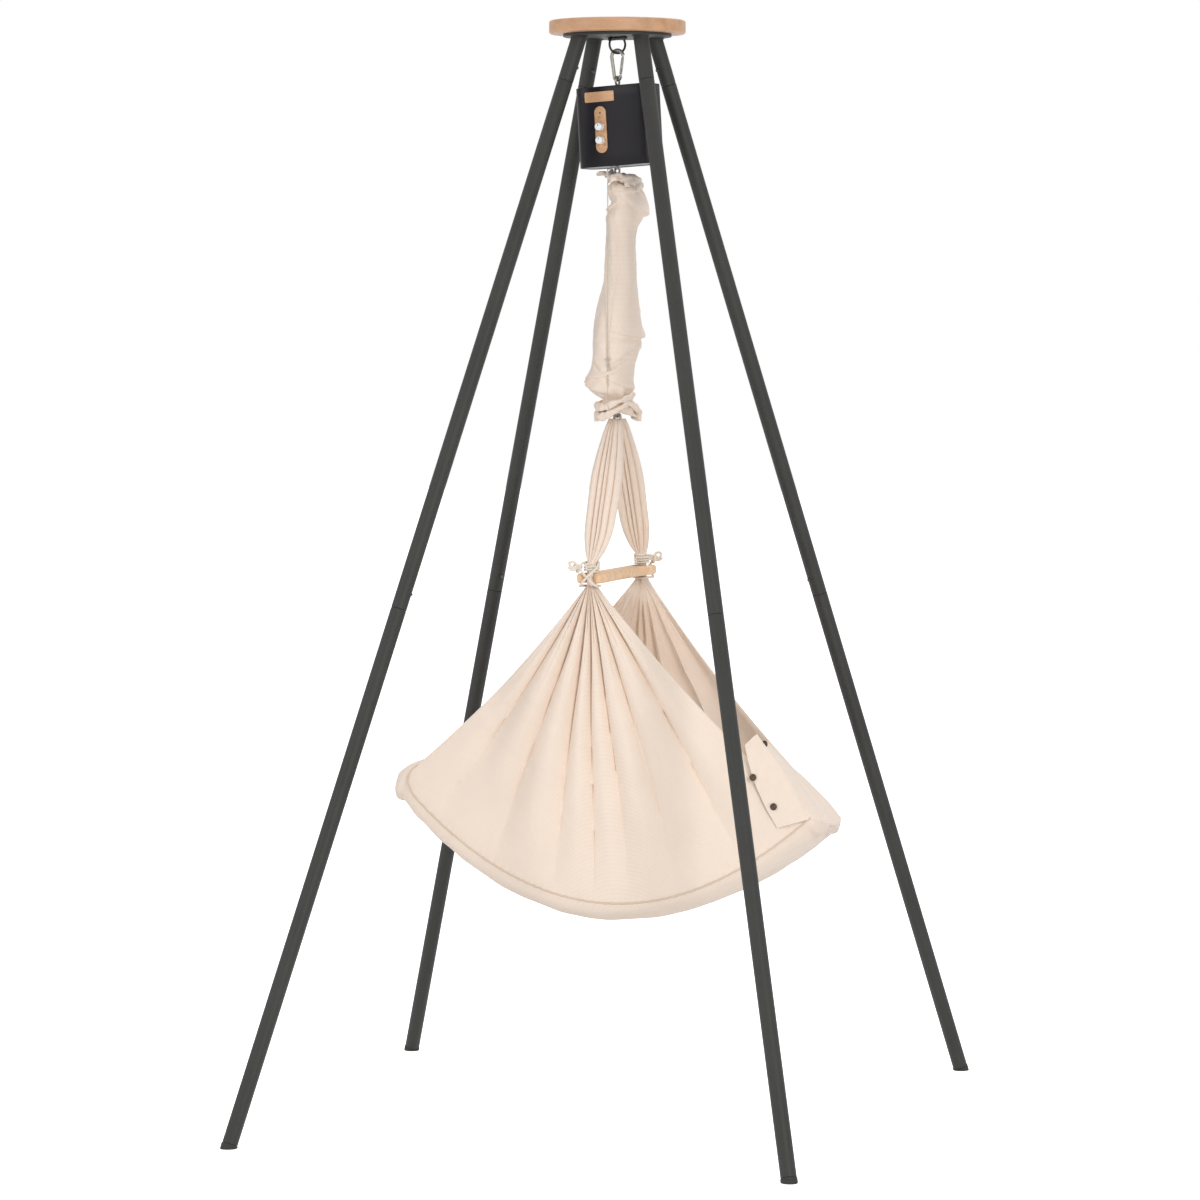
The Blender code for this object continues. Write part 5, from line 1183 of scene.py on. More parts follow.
skirt_placed = placed_round(skirt, 0.0) + skirt_start[None] * (1 - skirt_share[..., None]) ** 2
frill_placed = placed_round(top_frill, 0.004 * np.linspace(1, 0, 26)[:, None])
frill_placed = frill_placed + (sleeve_body[0] - frill_placed[-1])[None] * (1 - frill_share[..., None]) ** 3
sleeve_outer = np.concatenate([frill_placed[:-1], sleeve_body, skirt_placed[1:]])


def wall_behind(outer, wall, around=True):
    """From each point of a cloth's outer face, the step of a wall's thickness that is square to the face."""
    across = np.roll(outer, -1, 1) - np.roll(outer, 1, 1) if around else np.gradient(outer, axis=1)
    normal = np.cross(across, np.gradient(outer, axis=0))
    normal /= np.maximum(np.linalg.norm(normal, axis=2), 1e-9)[..., None]
    return normal * wall


sleeve_wall = wall_behind(sleeve_outer, cloth_wall)
sleeve_out_sign = np.sign((sleeve_wall[150] * (sleeve_outer[150] - sleeve_outer[150].mean(0))).sum())
sleeve_inner = sleeve_outer - sleeve_wall * sleeve_out_sign
sleeve_faces = np.concatenate([sleeve_outer, sleeve_inner[::-1]])
sleeve = surface("gathered_cotton_sleeve", sleeve_faces, cotton, around=True, endless=True, ease=0)


def cloth_roll(name, stations, count=70):
    """A rolled fold of the cloth: stations give turn, reach, height, and half thickness out and along."""
    stations = np.array(stations, float)
    table = np.column_stack([np.linspace(0, 1, len(stations)), stations])
    steps = read_curve(table, np.linspace(0, 1, count))
    angle = np.radians(steps[:, 0])
    outwards = np.stack([np.cos(angle), np.sin(angle), 0 * angle], -1)
    line = steps[:, 1:2] * outwards
    line[:, 2] = steps[:, 2]
    ring = full_turn(26)[None, :, None]
    shape = steps[:, 3, None, None] * np.cos(ring) * outwards[:, None]
    shape = shape + steps[:, 4, None, None] * np.sin(ring) * upright
    crumpled = line[:, None] + shape
    crumpled = crumpled + 0.0009 * ripple(crumpled, 0.013, len(name))[..., None] * shape / 0.006
    return surface(name, placed_round(crumpled, 0.0), cotton, around=True, capped=True, ease=0)


sleeve_rolls = [
    cloth_roll(
        "sleeve_roll_upper",
        [
            (206, 0.0270, 1.2990, 0.0030, 0.0030),
            (176, 0.0355, 1.2930, 0.0060, 0.0062),
            (140, 0.0385, 1.2890, 0.0068, 0.0066),
            (104, 0.0375, 1.2950, 0.0062, 0.0060),
            (70, 0.0345, 1.3040, 0.0058, 0.0056),
            (36, 0.0330, 1.3110, 0.0058, 0.0060),
            (6, 0.0280, 1.3150, 0.0030, 0.0030),
        ],
    ),
    cloth_roll(
        "sleeve_roll_lower",
        [
            (214, 0.0280, 1.2900, 0.0030, 0.0030),
            (184, 0.0350, 1.2790, 0.0058, 0.0070),
            (150, 0.0395, 1.2720, 0.0062, 0.0078),
            (118, 0.0400, 1.2750, 0.0060, 0.0066),
            (88, 0.0385, 1.2860, 0.0054, 0.0052),
            (62, 0.0370, 1.2960, 0.0048, 0.0046),
            (44, 0.0330, 1.3000, 0.0026, 0.0026),
        ],
    ),
    cloth_roll(
        "sleeve_roll_right",
        [
            (70, 0.0360, 1.2995, 0.0026, 0.0026),
            (46, 0.0395, 1.2940, 0.0052, 0.0052),
            (24, 0.0405, 1.2840, 0.0060, 0.0070),
            (4, 0.0395, 1.2740, 0.0056, 0.0078),
            (-16, 0.0350, 1.2720, 0.0030, 0.0036),
        ],
    ),
]
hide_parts("spring_sleeve")
for piece in sleeve_rolls + [sleeve]:
    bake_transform(piece)


# Safety cord: a thin braided cord beside the spring, so that the hammock is held if the spring breaks. It
# is looped through the lift hook, hangs down the front of the sleeve, is knotted once and hooked into the
# lower snap hook.
cord_radius, cord_x, cord_gap = 0.0011, -0.0175, 0.0004
cord_top = hook_top - 0.0020


def sleeve_front(x, z):
    """How far towards the camera the sleeve's outer face reaches at x across the view, at this height."""
    turns = np.linspace(0, 2 * math.pi, 240)[None, :]
    shape = sleeve_shape(turns, np.array([[z]]))[0] - hub
    across, towards = shape @ view_across, shape @ view_towards
    near = np.abs(across - x) < 0.004
    return float(towards[near].max()) if near.any() else 0.02


cord_knots = [
    (-0.0078, 0.0000, cord_top),
    (-0.0110, 0.0090, cord_top),
    (-0.0150, 0.0180, cord_top + 0.0004),
    (cord_x, 0.0250, cord_top - 0.0012),
    (cord_x, 0.0305, cord_top - 0.0085),
]
for cord_z in np.linspace(1.7000, 1.3050, 30):
    front = sleeve_front(cord_x, cord_z) if cord_z > 1.312 else 0.0290
    straight = 0.0310 + 0.0118 * (1.7050 - cord_z) / 0.305 if cord_z > 1.40 else 0.0
    cord_knots.append((cord_x, max(front + cord_radius + cord_gap, straight), cord_z))
cord_knots += [
    (cord_x + 0.0010, 0.0405, 1.2905),
    (cord_x + 0.0040, 0.0385, 1.2790),
    (cord_x + 0.0090, 0.0280, 1.2745),
]
cord_route = np.array(cord_knots)
cord_reach = np.pad(cord_route[5:-3, 1], 2, mode="edge")
cord_route[5:-3, 1] = np.convolve(cord_reach, (0.1, 0.2, 0.4, 0.2, 0.1), "valid")
cord_points = np.concatenate([placed_round(cord_route, 0.0), [hub + (-0.0010, -0.0132, 1.2743)]])
cord_run = np.concatenate([[0], np.cumsum(np.linalg.norm(np.diff(cord_points, axis=0), axis=1))])
cord_fine = read_curve(np.column_stack([cord_run, cord_points]), np.linspace(0, cord_run[-1], 360))
cord_braid = cord_radius * (1 + 0.10 * np.cos(3 * full_turn(12)[None, :] + np.arange(360)[:, None] * 0.9))
cord_grey = grained_finish(
    "grey_braided_cord",
    (0.42, 0.36, 0.30),
    0.8,
    (1500, 2, 0.6),
    (0.3, (0.40, 0.35, 0.30)),
    (0.7, (0.74, 0.68, 0.61)),
    dents=(0.0002, 0.7),
    sheen_weight=0.1,
)
safety_cord = swept("braided_safety_cord", cord_fine, cord_braid, cord_grey, view_across, sides=12)
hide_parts("safety_cord")

knot_height, knot_wire, tail_wire = 1.3725, 0.00105, 0.0009
knot_middle = cord_fine[np.argmin(np.abs(cord_fine[:, 2] - knot_height))]
knot_turn = full_turn(90)
knot_path = (
    knot_middle
    + (0.0024 * np.sin(knot_turn) + 0.0022 * np.sin(2 * knot_turn))[:, None] * view_across
    + (0.0016 + 0.0020 * np.sin(3 * knot_turn + 0.4))[:, None] * view_towards
    + (0.0066 * np.cos(knot_turn) - 0.0030 * np.cos(2 * knot_turn))[:, None] * upright
)
knot_reference = (0.4, 0.3, 0.87)
cord_knot = swept("safety_cord_knot", knot_path, knot_wire, cord_grey, knot_reference, closed=True, sides=10)
tail_share = np.linspace(0, 1, 20)[:, None]
tail_path = (
    knot_middle
    + (0.0012 + 0.0070 * tail_share - 0.0015 * tail_share**2) * view_across
    + (0.0028 + 0.0012 * np.sin(tail_share * math.pi)) * view_towards
    - (0.0030 + 0.0130 * tail_share**1.4) * upright
)
cord_tail = swept("safety_cord_tail", tail_path, tail_wire, cord_grey, view_towards, sides=10)
for piece in (safety_cord, cord_knot, cord_tail):
    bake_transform(piece)


# Spreader bar: a flat beech stick, 340 mm long, with a slot sawn into each end. The gathered cloth of each
# side sits in a slot, so the bar holds the two straps apart.
bar_length, bar_width, bar_waist, bar_thick, bar_edge = 0.340, 0.047, 0.040, 0.018, 0.0052
fork_gap, fork_depth, bar_height = 0.0165, 0.046, 0.985
bar_beech = beech_finish("bar_beech", (0.900, 0.600, 0.355), (0, 0, math.pi / 2))


def bar_outline():
    """A quarter of the bar's outline, mirrored twice: waist, swell, round prong end, round slot bottom."""
    half, prong = bar_length / 2, (bar_width - fork_gap) / 2
    slot_end = half - fork_depth
    side_y = np.linspace(0, slot_end, 24)
    swell = np.clip((side_y / slot_end - 0.45) / 0.55, 0, 1) ** 2
    side_x = bar_waist / 2 + (bar_width - bar_waist) / 2 * swell
    sweep = np.linspace(0, math.pi, 17)
    end_x = fork_gap / 2 + prong / 2 + prong / 2 * np.cos(sweep)
    end_y = half - prong / 2 + prong / 2 * np.sin(sweep)
    dip = np.linspace(0, math.pi / 2, 9)
    slot_x, slot_y = fork_gap / 2 * np.cos(dip), slot_end + fork_gap / 2 - fork_gap / 2 * np.sin(dip)
    wall_y = np.linspace(end_y[-1], slot_y[0], 8)[1:-1]
    quarter = np.concatenate(
        [
            np.column_stack([side_x, side_y]),
            np.column_stack([end_x, end_y]),
            np.column_stack([np.full(len(wall_y), fork_gap / 2), wall_y]),
            np.column_stack([slot_x, slot_y]),
        ]
    )
    left = quarter[::-1][1:] * (-1, 1)
    low_left = (quarter * (-1, -1))[1:]
    low_right = (quarter[::-1] * (1, -1))[1:-1]
    return np.concatenate([quarter, left, low_left, low_right])


def unit_rows(steps):
    """These steps, each made one metre long."""
    return steps / np.linalg.norm(steps, axis=1)[:, None]


def sewn_shut(piece, end_faces, ease):
    """Closes a piece's two open ends with these lists of corner numbers, and turns all its faces outwards."""
    work = bmesh.new()
    work.from_mesh(piece.data)
    work.verts.ensure_lookup_table()
    for corners in end_faces:
        face = work.faces.new([work.verts[n] for n in corners])
        if len(corners) > 4:
            bmesh.ops.triangulate(work, faces=[face])
    bmesh.ops.recalc_face_normals(work, faces=work.faces)
    work.to_mesh(piece.data)
    work.free()
    piece.data.shade_smooth()
    piece.data.set_sharp_from_angle(angle=math.radians(ease))
    return piece


outline = bar_outline()
ahead, behind = np.roll(outline, -1, 0) - outline, outline - np.roll(outline, 1, 0)
bar_along = unit_rows(unit_rows(ahead) + unit_rows(behind))
bar_out = np.column_stack([bar_along[:, 1], -bar_along[:, 0]])
bar_rows = []
for side in (-1, 1):
    for lean in np.radians((0, 18, 36, 54, 72, 90)[::-side]):
        rise = bar_thick / 2 - bar_edge * (1 - math.cos(lean))
        edge = outline - bar_out * bar_edge * (1 - math.sin(lean))
        bar_rows.append(np.insert(edge, 2, bar_height + side * rise, axis=1))
spreader = surface("beech_spreader_bar", hub + np.array(bar_rows), bar_beech, around=True, ease=40)
bar_columns = len(outline)
bar_ends = [range(start, start + bar_columns) for start in (0, (len(bar_rows) - 1) * bar_columns)]
fit(sewn_shut(spreader, bar_ends, 40), "hammock", "spreader_bar")


# Webbing loop: a short band of cotton webbing over the lower snap hook, with the tops of both straps sewn
# to it.
band_radius, band_thick, band_half, strap_top_z = 0.0058, 0.0014, 0.0059, 1.2684
band_turn, band_foot = np.linspace(0, math.pi, 30), [strap_top_z - 0.010]
band_x = np.concatenate([[band_radius], band_radius * np.cos(band_turn), [-band_radius]])
band_z = np.concatenate([band_foot, lower_hook_z + band_radius * np.sin(band_turn), band_foot])
band_edges = ((-1, -band_half), (1, -band_half), (1.1, 0), (1, band_half), (-1, band_half), (-0.9, 0))
band_grid = hub + band(np.stack([band_x, band_z], -1), band_thick, band_edges)
webbing_loop = surface("webbing_strap_loop", band_grid, webbing, around=True, capped=True, ease=50)
fit(webbing_loop, "hammock", "webbing_loop")


# Side panels: one fan of cotton on each side. Its wide edge is sewn to the bed along a piped seam, its top
# is gathered tight in the bar's slot, and above that the gathered cloth runs on as a strap to the webbing
# loop.
gather_y, gather_half_x, gather_half_y, panel_top = 0.150, 0.0078, 0.0120, 0.9715
bed_left, bed_right, bed_skew, bed_low, bed_curve, bed_shift = -0.378, 0.392, 0.013, 0.400, 1.23, 0.039
seam_half_width, seam_narrow, panel_cloth, corner_in, corner_up = 0.158, 0.022, 0.0022, 0.042, 0.024


def bed_z(x):
    """Height of the bed's side seam: a shallow parabola along the bed."""
    return bed_low + bed_curve * (x - bed_shift) ** 2


def bed_x(share, u):
    """Where a share of the bed's length lies. The right end runs askew, further out at the front (u = -1)."""
    return bed_left + (bed_right - bed_skew * u - bed_left) * share


def seam_y(share):
    """How far the seam lies from the hub axis: a little less towards the bed's two ends."""
    return seam_half_width - seam_narrow * np.abs(2 * share - 1) ** 3


def seam_line(share, u):
    """The seam's place along the bed and its height. At the bed's left corner it turns up and in."""
    corner = np.clip(1 - share / 0.05, 0, 1) * np.abs(u) ** 6
    x = bed_x(share, u)
    return x + corner_in * corner**4, bed_z(x) + corner_up * corner**1.5


def pleats(share, valleys, strengths, softness):
    """Heights of pleats: each is a rounded arch with a sharp valley on each side, softened by softness."""
    band = np.clip(np.searchsorted(valleys, share, side="right") - 1, 0, len(valleys) - 2)
    q = np.clip((share - valleys[band]) / (valleys[band + 1] - valleys[band]), 0, 1)
    arch = np.sin(math.pi * q) ** (0.50 + 0.5 * softness)
    wave = 0.5 - 0.5 * np.cos(2 * math.pi * q)
    height = arch * (1 - softness) + wave * softness
    return strengths[band] * (height - 0.55)


def valley_places(count, seed, spread):
    """Seeded places of the valleys between pleats from 0 to 1, closer together in the middle of the cloth."""
    draw = np.random.default_rng(seed)
    steps = draw.uniform(1 - spread, 1 + spread, count)
    steps *= 0.75 + 0.5 * np.abs(np.linspace(-1, 1, count))
    return np.concatenate([[0], np.cumsum(steps) / steps.sum()])


band_valleys = np.array(
    (0, 0.045, 0.10, 0.165, 0.24, 0.315, 0.385, 0.44, 0.485)
    + (0.53, 0.575, 0.63, 0.70, 0.775, 0.85, 0.915, 0.96, 1)
)
strap_table = np.array(
    [
        # height, half width along X, distance from the hub axis, half thickness, pleat depth
        (1.2684, 0.0120, 0.0112, 0.0048, 0.0006),
        (1.2560, 0.0160, 0.0175, 0.0050, 0.0018),
        (1.2300, 0.0215, 0.0300, 0.0046, 0.0034),
        (1.1760, 0.0290, 0.0560, 0.0040, 0.0046),
        (1.1100, 0.0290, 0.0880, 0.0038, 0.0048),
        (1.0520, 0.0240, 0.1180, 0.0046, 0.0040),
        (1.0250, 0.0150, 0.1360, 0.0080, 0.0024),
        (1.0130, 0.0086, 0.1450, 0.0115, 0.0010),
        (0.9990, 0.0074, 0.1500, 0.0118, 0.0008),
        (0.9715, 0.0076, 0.1500, 0.0120, 0.0012),
    ]
)


def panel_grid(side, seed):
    """Outer and inner face of a side panel as rows from the webbing loop down to the seam.

    Above the gather a row is a flat oval. Below it, each thread runs straight from its place in the gather to
    its place on the seam. Pleats push both faces out square to the panel, less and less towards the seam.
    """
    columns = 260
    share = np.linspace(0, 1, columns)[None, :]
    flat = 2 * share - 1
    oval = np.sqrt(np.clip(1 - flat**2, 0, 1))
    wide = valley_places(5, seed + 1, 0.25)
    fine = band_valleys if side < 0 else 1 - band_valleys[::-1]
    broad = fine[[0, 2, 4, 6, 8, 10, 12, 14, 17]]
    small = valley_places(27, seed + 3, 0.45)
    draw = np.random.default_rng(seed)
    wide_strength, fine_strength, small_strength = (draw.uniform(0.55, 1.15, n) for n in (5, 17, 27))
    broad_strength = draw.uniform(0.7, 1.25, 8)

    height = np.linspace(1.2684, panel_top, 84)[:, None]
    half_x, middle_y, half_y, depth = (read_curve(strap_table, height[:, 0])[:, n : n + 1] for n in range(4))
    drift = share + 0.018 * np.sin(9 * height + seed) * oval
    strap_pleats = pleats(drift, wide, wide_strength, 0.0)
    back_pleats = pleats(1 - drift, wide, wide_strength[::-1], 0.12)
    bulk = half_y * (0.28 + 0.72 * oval)
    x = half_x * flat
    outer_y = middle_y + bulk + depth * 2.4 * strap_pleats * oval**0.5
    inner_y = middle_y - bulk - depth * 1.8 * back_pleats * oval**0.5
    strap_outer = np.stack([x, outer_y, height + 0 * flat], -1)
    strap_inner = np.stack([x, inner_y, height + 0 * flat], -1)

    down = (np.linspace(0, 1, 150)[1:, None]) ** 1.15
    seam_x, seam_z = seam_line(share, side)
    top_x = gather_half_x * flat
    sag = 0.016 * np.sin(math.pi * down) * np.abs(flat) ** 6
    x = top_x + (seam_x - top_x) * down - np.sign(flat) * sag * 0.6
    z = panel_top + (seam_z - panel_top) * down - sag * 0.6
    settle = 1 - (1 - down) ** 1.6
    middle = gather_y + (seam_y(share) - gather_y) * settle
    ends = 1 - np.abs(flat) ** 10
    drift = share + 0.006 * np.sin(2 * math.pi * (1.3 * share + 0.9 * down) + seed) * oval
    soft = np.clip(down * 1.1, 0, 1)
    big = pleats(drift, broad, broad_strength, soft * 0.32)
    medium = pleats(drift, fine, fine_strength, soft)
    little = pleats(drift, small, small_strength, soft)
    swell = 0.0245 * (1 - np.exp(-down / 0.14)) * np.clip(1 - down**7, 0, 1) * (1 - 0.34 * down)
    medium_swell = 0.0060 * (1 - np.exp(-down / 0.06)) * np.exp(-((down / 0.27) ** 2))
    little_swell = 0.0020 * (1 - np.exp(-down / 0.05)) * np.exp(-((down / 0.24) ** 2)) * oval
    spots = np.stack([x, 0 * x, z], -1)
    worn = 0.0010 * ripple(spots * (1, 1, 0.6), 0.14, seed + 5) * np.sin(math.pi * np.clip(down, 0, 1))
    pucker = 0.0007 * np.cos(share * 2 * math.pi * 64 + 3 * np.sin(share * 40))
    pucker = pucker * np.exp(-(((1 - down) / 0.022) ** 2))
    folds = (swell * big + medium_swell * medium + little_swell * little) * ends + worn + pucker
    bundle = (1 - down) ** 11
    half = panel_cloth / 2 + (gather_half_y * 0.92 - panel_cloth / 2) * bundle * (0.30 + 0.70 * oval)
    hem = 0.0007 * (np.abs(flat) > 1 - 2 * 0.012 / np.maximum(0.0156 + 0.772 * down, 0.02))
    packed = 0.0022 * bundle * pleats(share, fine, fine_strength, 0.1)
    fan_outer = np.stack([x, middle + half + hem + folds + packed, z], -1)
    fan_inner = np.stack([x, middle - half - hem + folds * (1 - 1.6 * bundle) - packed, z], -1)
    outer = np.concatenate([strap_outer, fan_outer]) * (1, side, 1)
    inner = np.concatenate([strap_inner, fan_inner]) * (1, side, 1)
    return hub + outer, hub + inner


def closed_cloth(name, outer, inner, finish, ease=60):
    """A cloth from its two faces: each row runs along one face and back along the other, ends closed."""
    piece = surface(name, np.concatenate([outer, inner[:, ::-1]], 1), finish, around=True, ease=0)
    row = 2 * outer.shape[1]
    strip = np.arange(row // 2 - 1)[:, None] * (1, 1, -1, -1) + (0, 1, row - 2, row - 1)
    return sewn_shut(piece, np.concatenate([strip, strip + row * (len(outer) - 1)]).tolist(), ease)


for panel_name, side, seed in (("front_panel", -1, 21), ("back_panel", 1, 57)):
    panel = closed_cloth("cotton_" + panel_name, *panel_grid(side, seed), cotton, 70)
    fit(panel, "hammock", panel_name)


# Piping: a cord covered in the same cotton, sewn into the seam between each side panel and the bed.
seam_share, seam_gap, piping_radius = np.linspace(0, 1, 220), 0.0012, 0.0020
seam_thread = cotton_finish("seam_piping_cotton", (0.74, 0.58, 0.45), 0.0024, 0.5)
for piping_name, side in (("front_seam_piping", -1), ("back_seam_piping", 1)):
    seam_x, seam_z = seam_line(seam_share, side)
    wavy_z = seam_z - 0.0004 + 0.0004 * np.sin(seam_share * 300)
    piping_path = hub + np.stack([seam_x, side * (seam_y(seam_share) + seam_gap), wavy_z], -1)
    piping = swept(piping_name, piping_path, piping_radius, seam_thread, (0, 1.0, 0), sides=14)
    fit(piping, "hammock")


# Mattress pocket: the hammock's bottom, a trough of double cotton that sags from seam to seam. It holds the
# mattress, and both of its ends are rounded off beyond the side panels.
pocket_sag, pocket_wall, end_sag = 0.036, 0.0024, 0.014
nose_length, nose_drop = {-1: 0.026, 1: 0.017}, {-1: 0.026, 1: 0.014}


def pocket_face(share, u, inner):
    """The pocket's outer or inner face: across the bed it hangs flat-bottomed from seam to seam."""
    wall = pocket_wall if inner else 0.0
    width = seam_y(share) + seam_gap - wall
    sag = pocket_sag * (1 - 0.05 * (2 * share - 1) ** 2) - wall + end_sag * np.clip(1 - 1.5 * share, 0, 1)
    corners = np.abs(u) ** (6 + 6 * np.abs(1 - 1.5 * share))
    x, z = seam_line(share, u)
    out = 1 + 0.030 * np.sin(math.pi * np.clip((1 - np.abs(u) ** 6), 0, 1)) * (np.abs(u) > 0.5)
    return np.stack([x, u * width * out, z - seam_gap - sag * (1 - corners)], -1)


def pocket_nose(share, sign, u, inner):
    """The pocket's rounded end beyond the side panels: its end section shrinks to a point on the rim."""
    swing = np.radians(89.92 - 83.92 * np.linspace(0, 1, 24) ** 2)[:, None]
    end = pocket_face(np.array([[share]]), u, inner)
    middle = np.array((bed_x(share, 0.0), 0.0, bed_z(bed_x(share, 0.0)) - seam_gap - nose_drop[sign]))
    grow = np.cos(swing) ** 0.45
    rows = middle + (end - middle) * grow[..., None]
    length = nose_length[sign] - (pocket_wall / 2 if inner else 0.0)
    rows[..., 0] += sign * length * np.sin(swing) * (0.85 + 0.15 * np.abs(u) ** 4)
    rows[..., 2] -= nose_drop[sign] * (grow - grow**2) * u**4
    if sign < 0:
        rows[..., 0] -= corner_in * np.abs(u) ** 24 * (grow - grow**4)
    return rows if sign < 0 else rows[::-1]


pocket_share = np.linspace(0, 1, 140)[:, None]
pocket_u = np.sin(np.linspace(-math.pi / 2, math.pi / 2, 110))[None, :]
pocket_outer, pocket_inner = (
    np.concatenate(
        [
            pocket_nose(0.0, -1, pocket_u, inner),
            pocket_face(pocket_share, pocket_u, inner),
            pocket_nose(1.0, 1, pocket_u, inner),
        ]
    )
    for inner in (False, True)
)
pocket_ends = np.clip(np.abs(pocket_outer[..., 0] - 0.01) / 0.40, 0, 1) ** 4
pocket_middle = np.clip(1 - np.abs(pocket_u) ** 6, 0, 1)
pocket_drag = 0.0014 * ripple(pocket_outer * (1, 0.5, 0.6), 0.075, 71)
pocket_drag = pocket_drag + 0.0030 * pocket_ends * ripple(pocket_outer, 0.050, 72)
pocket_lift = (np.abs(pocket_drag) * pocket_middle)[..., None] * upright
pocket_outer, pocket_inner = hub + pocket_outer + pocket_lift * 0.9, hub + pocket_inner + pocket_lift
pocket = closed_cloth("cotton_mattress_pocket", pocket_outer, pocket_inner, cotton, 70)
fit(pocket, "hammock", "mattress_pocket")


# Mattress: a thin foam pad in a cotton cover, which lies in the pocket and takes its curve.
# The cover is puffed up by a short cloth simulation.
mattress_shrink, mattress_voxel, mattress_cap = 0.0060, 0.006, 0.0050
mattress_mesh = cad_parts["mattress"].data.copy()
mattress = add_object("padded_mattress", mattress_mesh)
weld_work = bmesh.new()
weld_work.from_mesh(mattress_mesh)
bmesh.ops.remove_doubles(weld_work, verts=weld_work.verts, dist=0.00002)
weld_work.normal_update()
for point in weld_work.verts:
    point.co -= point.normal * mattress_shrink
weld_work.to_mesh(mattress_mesh)
weld_work.free()


def settle(piece):
    """Keeps the mesh that the piece's modifiers make, and takes them off."""
    piece.data = evaluated_copy(piece)
    piece.modifiers.clear()
    return piece.data


even = mattress.modifiers.new("even", "REMESH")
even.mode, even.voxel_size = "VOXEL", mattress_voxel
mattress_mesh = settle(mattress)
flat_points = points_of(mattress_mesh)
cover = mattress.modifiers.new("cover", "CLOTH")
cover.settings.quality = 6
cover.settings.use_pressure = True
cover.settings.uniform_pressure_force = 4
cover.settings.effector_weights.gravity = 0
for frame_number in range(1, 21):
    scene.frame_set(frame_number)
moved = points_of(evaluated_copy(mattress)) - flat_points
mattress.modifiers.clear()
scene.frame_set(1)
moved *= np.minimum(1, mattress_cap / np.maximum(np.linalg.norm(moved, axis=1, keepdims=True), 1e-9))
mattress_mesh.vertices.foreach_set("co", (flat_points + moved).ravel())
finer = mattress.modifiers.new("finer", "SUBSURF")
finer.levels = finer.render_levels = 1
mattress_mesh = settle(mattress)
mattress_mesh.shade_smooth()
mattress_mesh.materials.clear()
mattress_mesh.materials.append(cotton_finish("mattress_cover_cotton", (0.86, 0.80, 0.72), 0.0028, 0.6))
fit(mattress, "hammock", "mattress")


# End flaps: a wall of cotton at each end of the bed. The one at the right end is drawn round the front
# panel's edge and buttoned onto it with dark press studs; the one at the left end is sewn in behind the
# panels.
def end_wall(sign, front_top, back_top, bulge, droop, seed):
    """A flap from the pocket's rounded end up to a straight top edge, as a grid over rise and across."""
    across = np.linspace(-1, 1, 90)
    across = across * np.abs(across)
    rise = np.linspace(0, 1, 60)[:, None]
    share = 0.0 if sign < 0 else 1.0
    swing = math.pi / 2 * (1 - np.abs(across))
    grow = np.cos(swing) ** 0.45
    foot_x = bed_x(share, np.sign(across) * grow)
    foot_z = bed_z(foot_x) - foot_tuck - nose_drop[sign] * (1 - grow**2)
    foot_x = foot_x + sign * nose_length[sign] * np.sin(swing)
    if sign < 0:
        foot_x = foot_x + corner_in * grow**4
        foot_z = foot_z + corner_up * grow
    foot = np.stack([foot_x, np.sign(across) * seam_y(share) * grow, foot_z], -1)
    edge_share = (across + 1)[:, None] / 2
    head = np.array(front_top) * (1 - edge_share) + np.array(back_top) * edge_share
    head[:, 2] -= droop * (1 - across**2)
    grid = foot[None] * (1 - rise[..., None]) + head[None] * rise[..., None]
    grid[..., 0] += bulge * np.sin(math.pi * rise**0.8) * (1 - 0.6 * across**2)
    slack = 0.0022 * ripple(grid * (1, 1, 0.6), 0.06, seed)
    grid[..., 0] += slack * np.sin(math.pi * np.clip(rise + 0.1, 0, 1))
    return grid


foot_tuck, flap_wall = 0.0026, 0.0018
right_wall = end_wall(1, (0.309, -0.147, 0.712), (0.246, 0.142, 0.672), 0.010, 0.008, 81)
left_wall = end_wall(-1, (-0.304, -0.134, 0.660), (-0.290, 0.138, 0.678), -0.008, 0.010, 82)

tab_share = np.linspace(1, 0, 40)[None, :, None]
tab_rise = np.linspace(0, 1, 60)[:, None, None]
tab_hem_low, tab_hem_high = np.array((0.347, -0.1505, 0.545)), np.array((0.288, -0.1555, 0.692))
corner_line, hem_line = right_wall[:, :1], tab_hem_low * (1 - tab_rise) + tab_hem_high * tab_rise
hem_line[..., 0] -= 0.008 * np.sin(math.pi * tab_rise[..., 0])
tab = corner_line * (1 - tab_share) + hem_line * tab_share
tab_in_share = (tab[..., 0] - bed_left) / (bed_right + bed_skew - bed_left)
tab[..., 1] = -(seam_y(np.clip(tab_in_share, 0, 1)) + 0.0052 + 0.0006 * ripple(tab, 0.03, 83))
turn_in = np.clip(1 - tab_share[..., 0] / 0.14, 0, 1) ** 2
tab[..., 1] = tab[..., 1] * (1 - turn_in) + corner_line[..., 1] * turn_in
buttoned = np.concatenate([tab[:, :-1], right_wall], 1)

flap_rest = ["front_panel", "mattress_pocket"]
for name, node_name, grid, flat, area, rests_on in (
    ("cotton_buttoned_flap", "buttoned_end_flap", buttoned, (0.40, 0.17), 0.052, flap_rest),
    ("cotton_plain_flap", "plain_end_flap", left_wall, (0.34, 0.16), 0.037, flap_rest[1:]),
):
    inner_face = hub + grid - wall_behind(grid, flap_wall, around=False)
    flap = closed_cloth(name, hub + grid, inner_face, cotton, 60)
    fit(flap, "hammock", node_name)

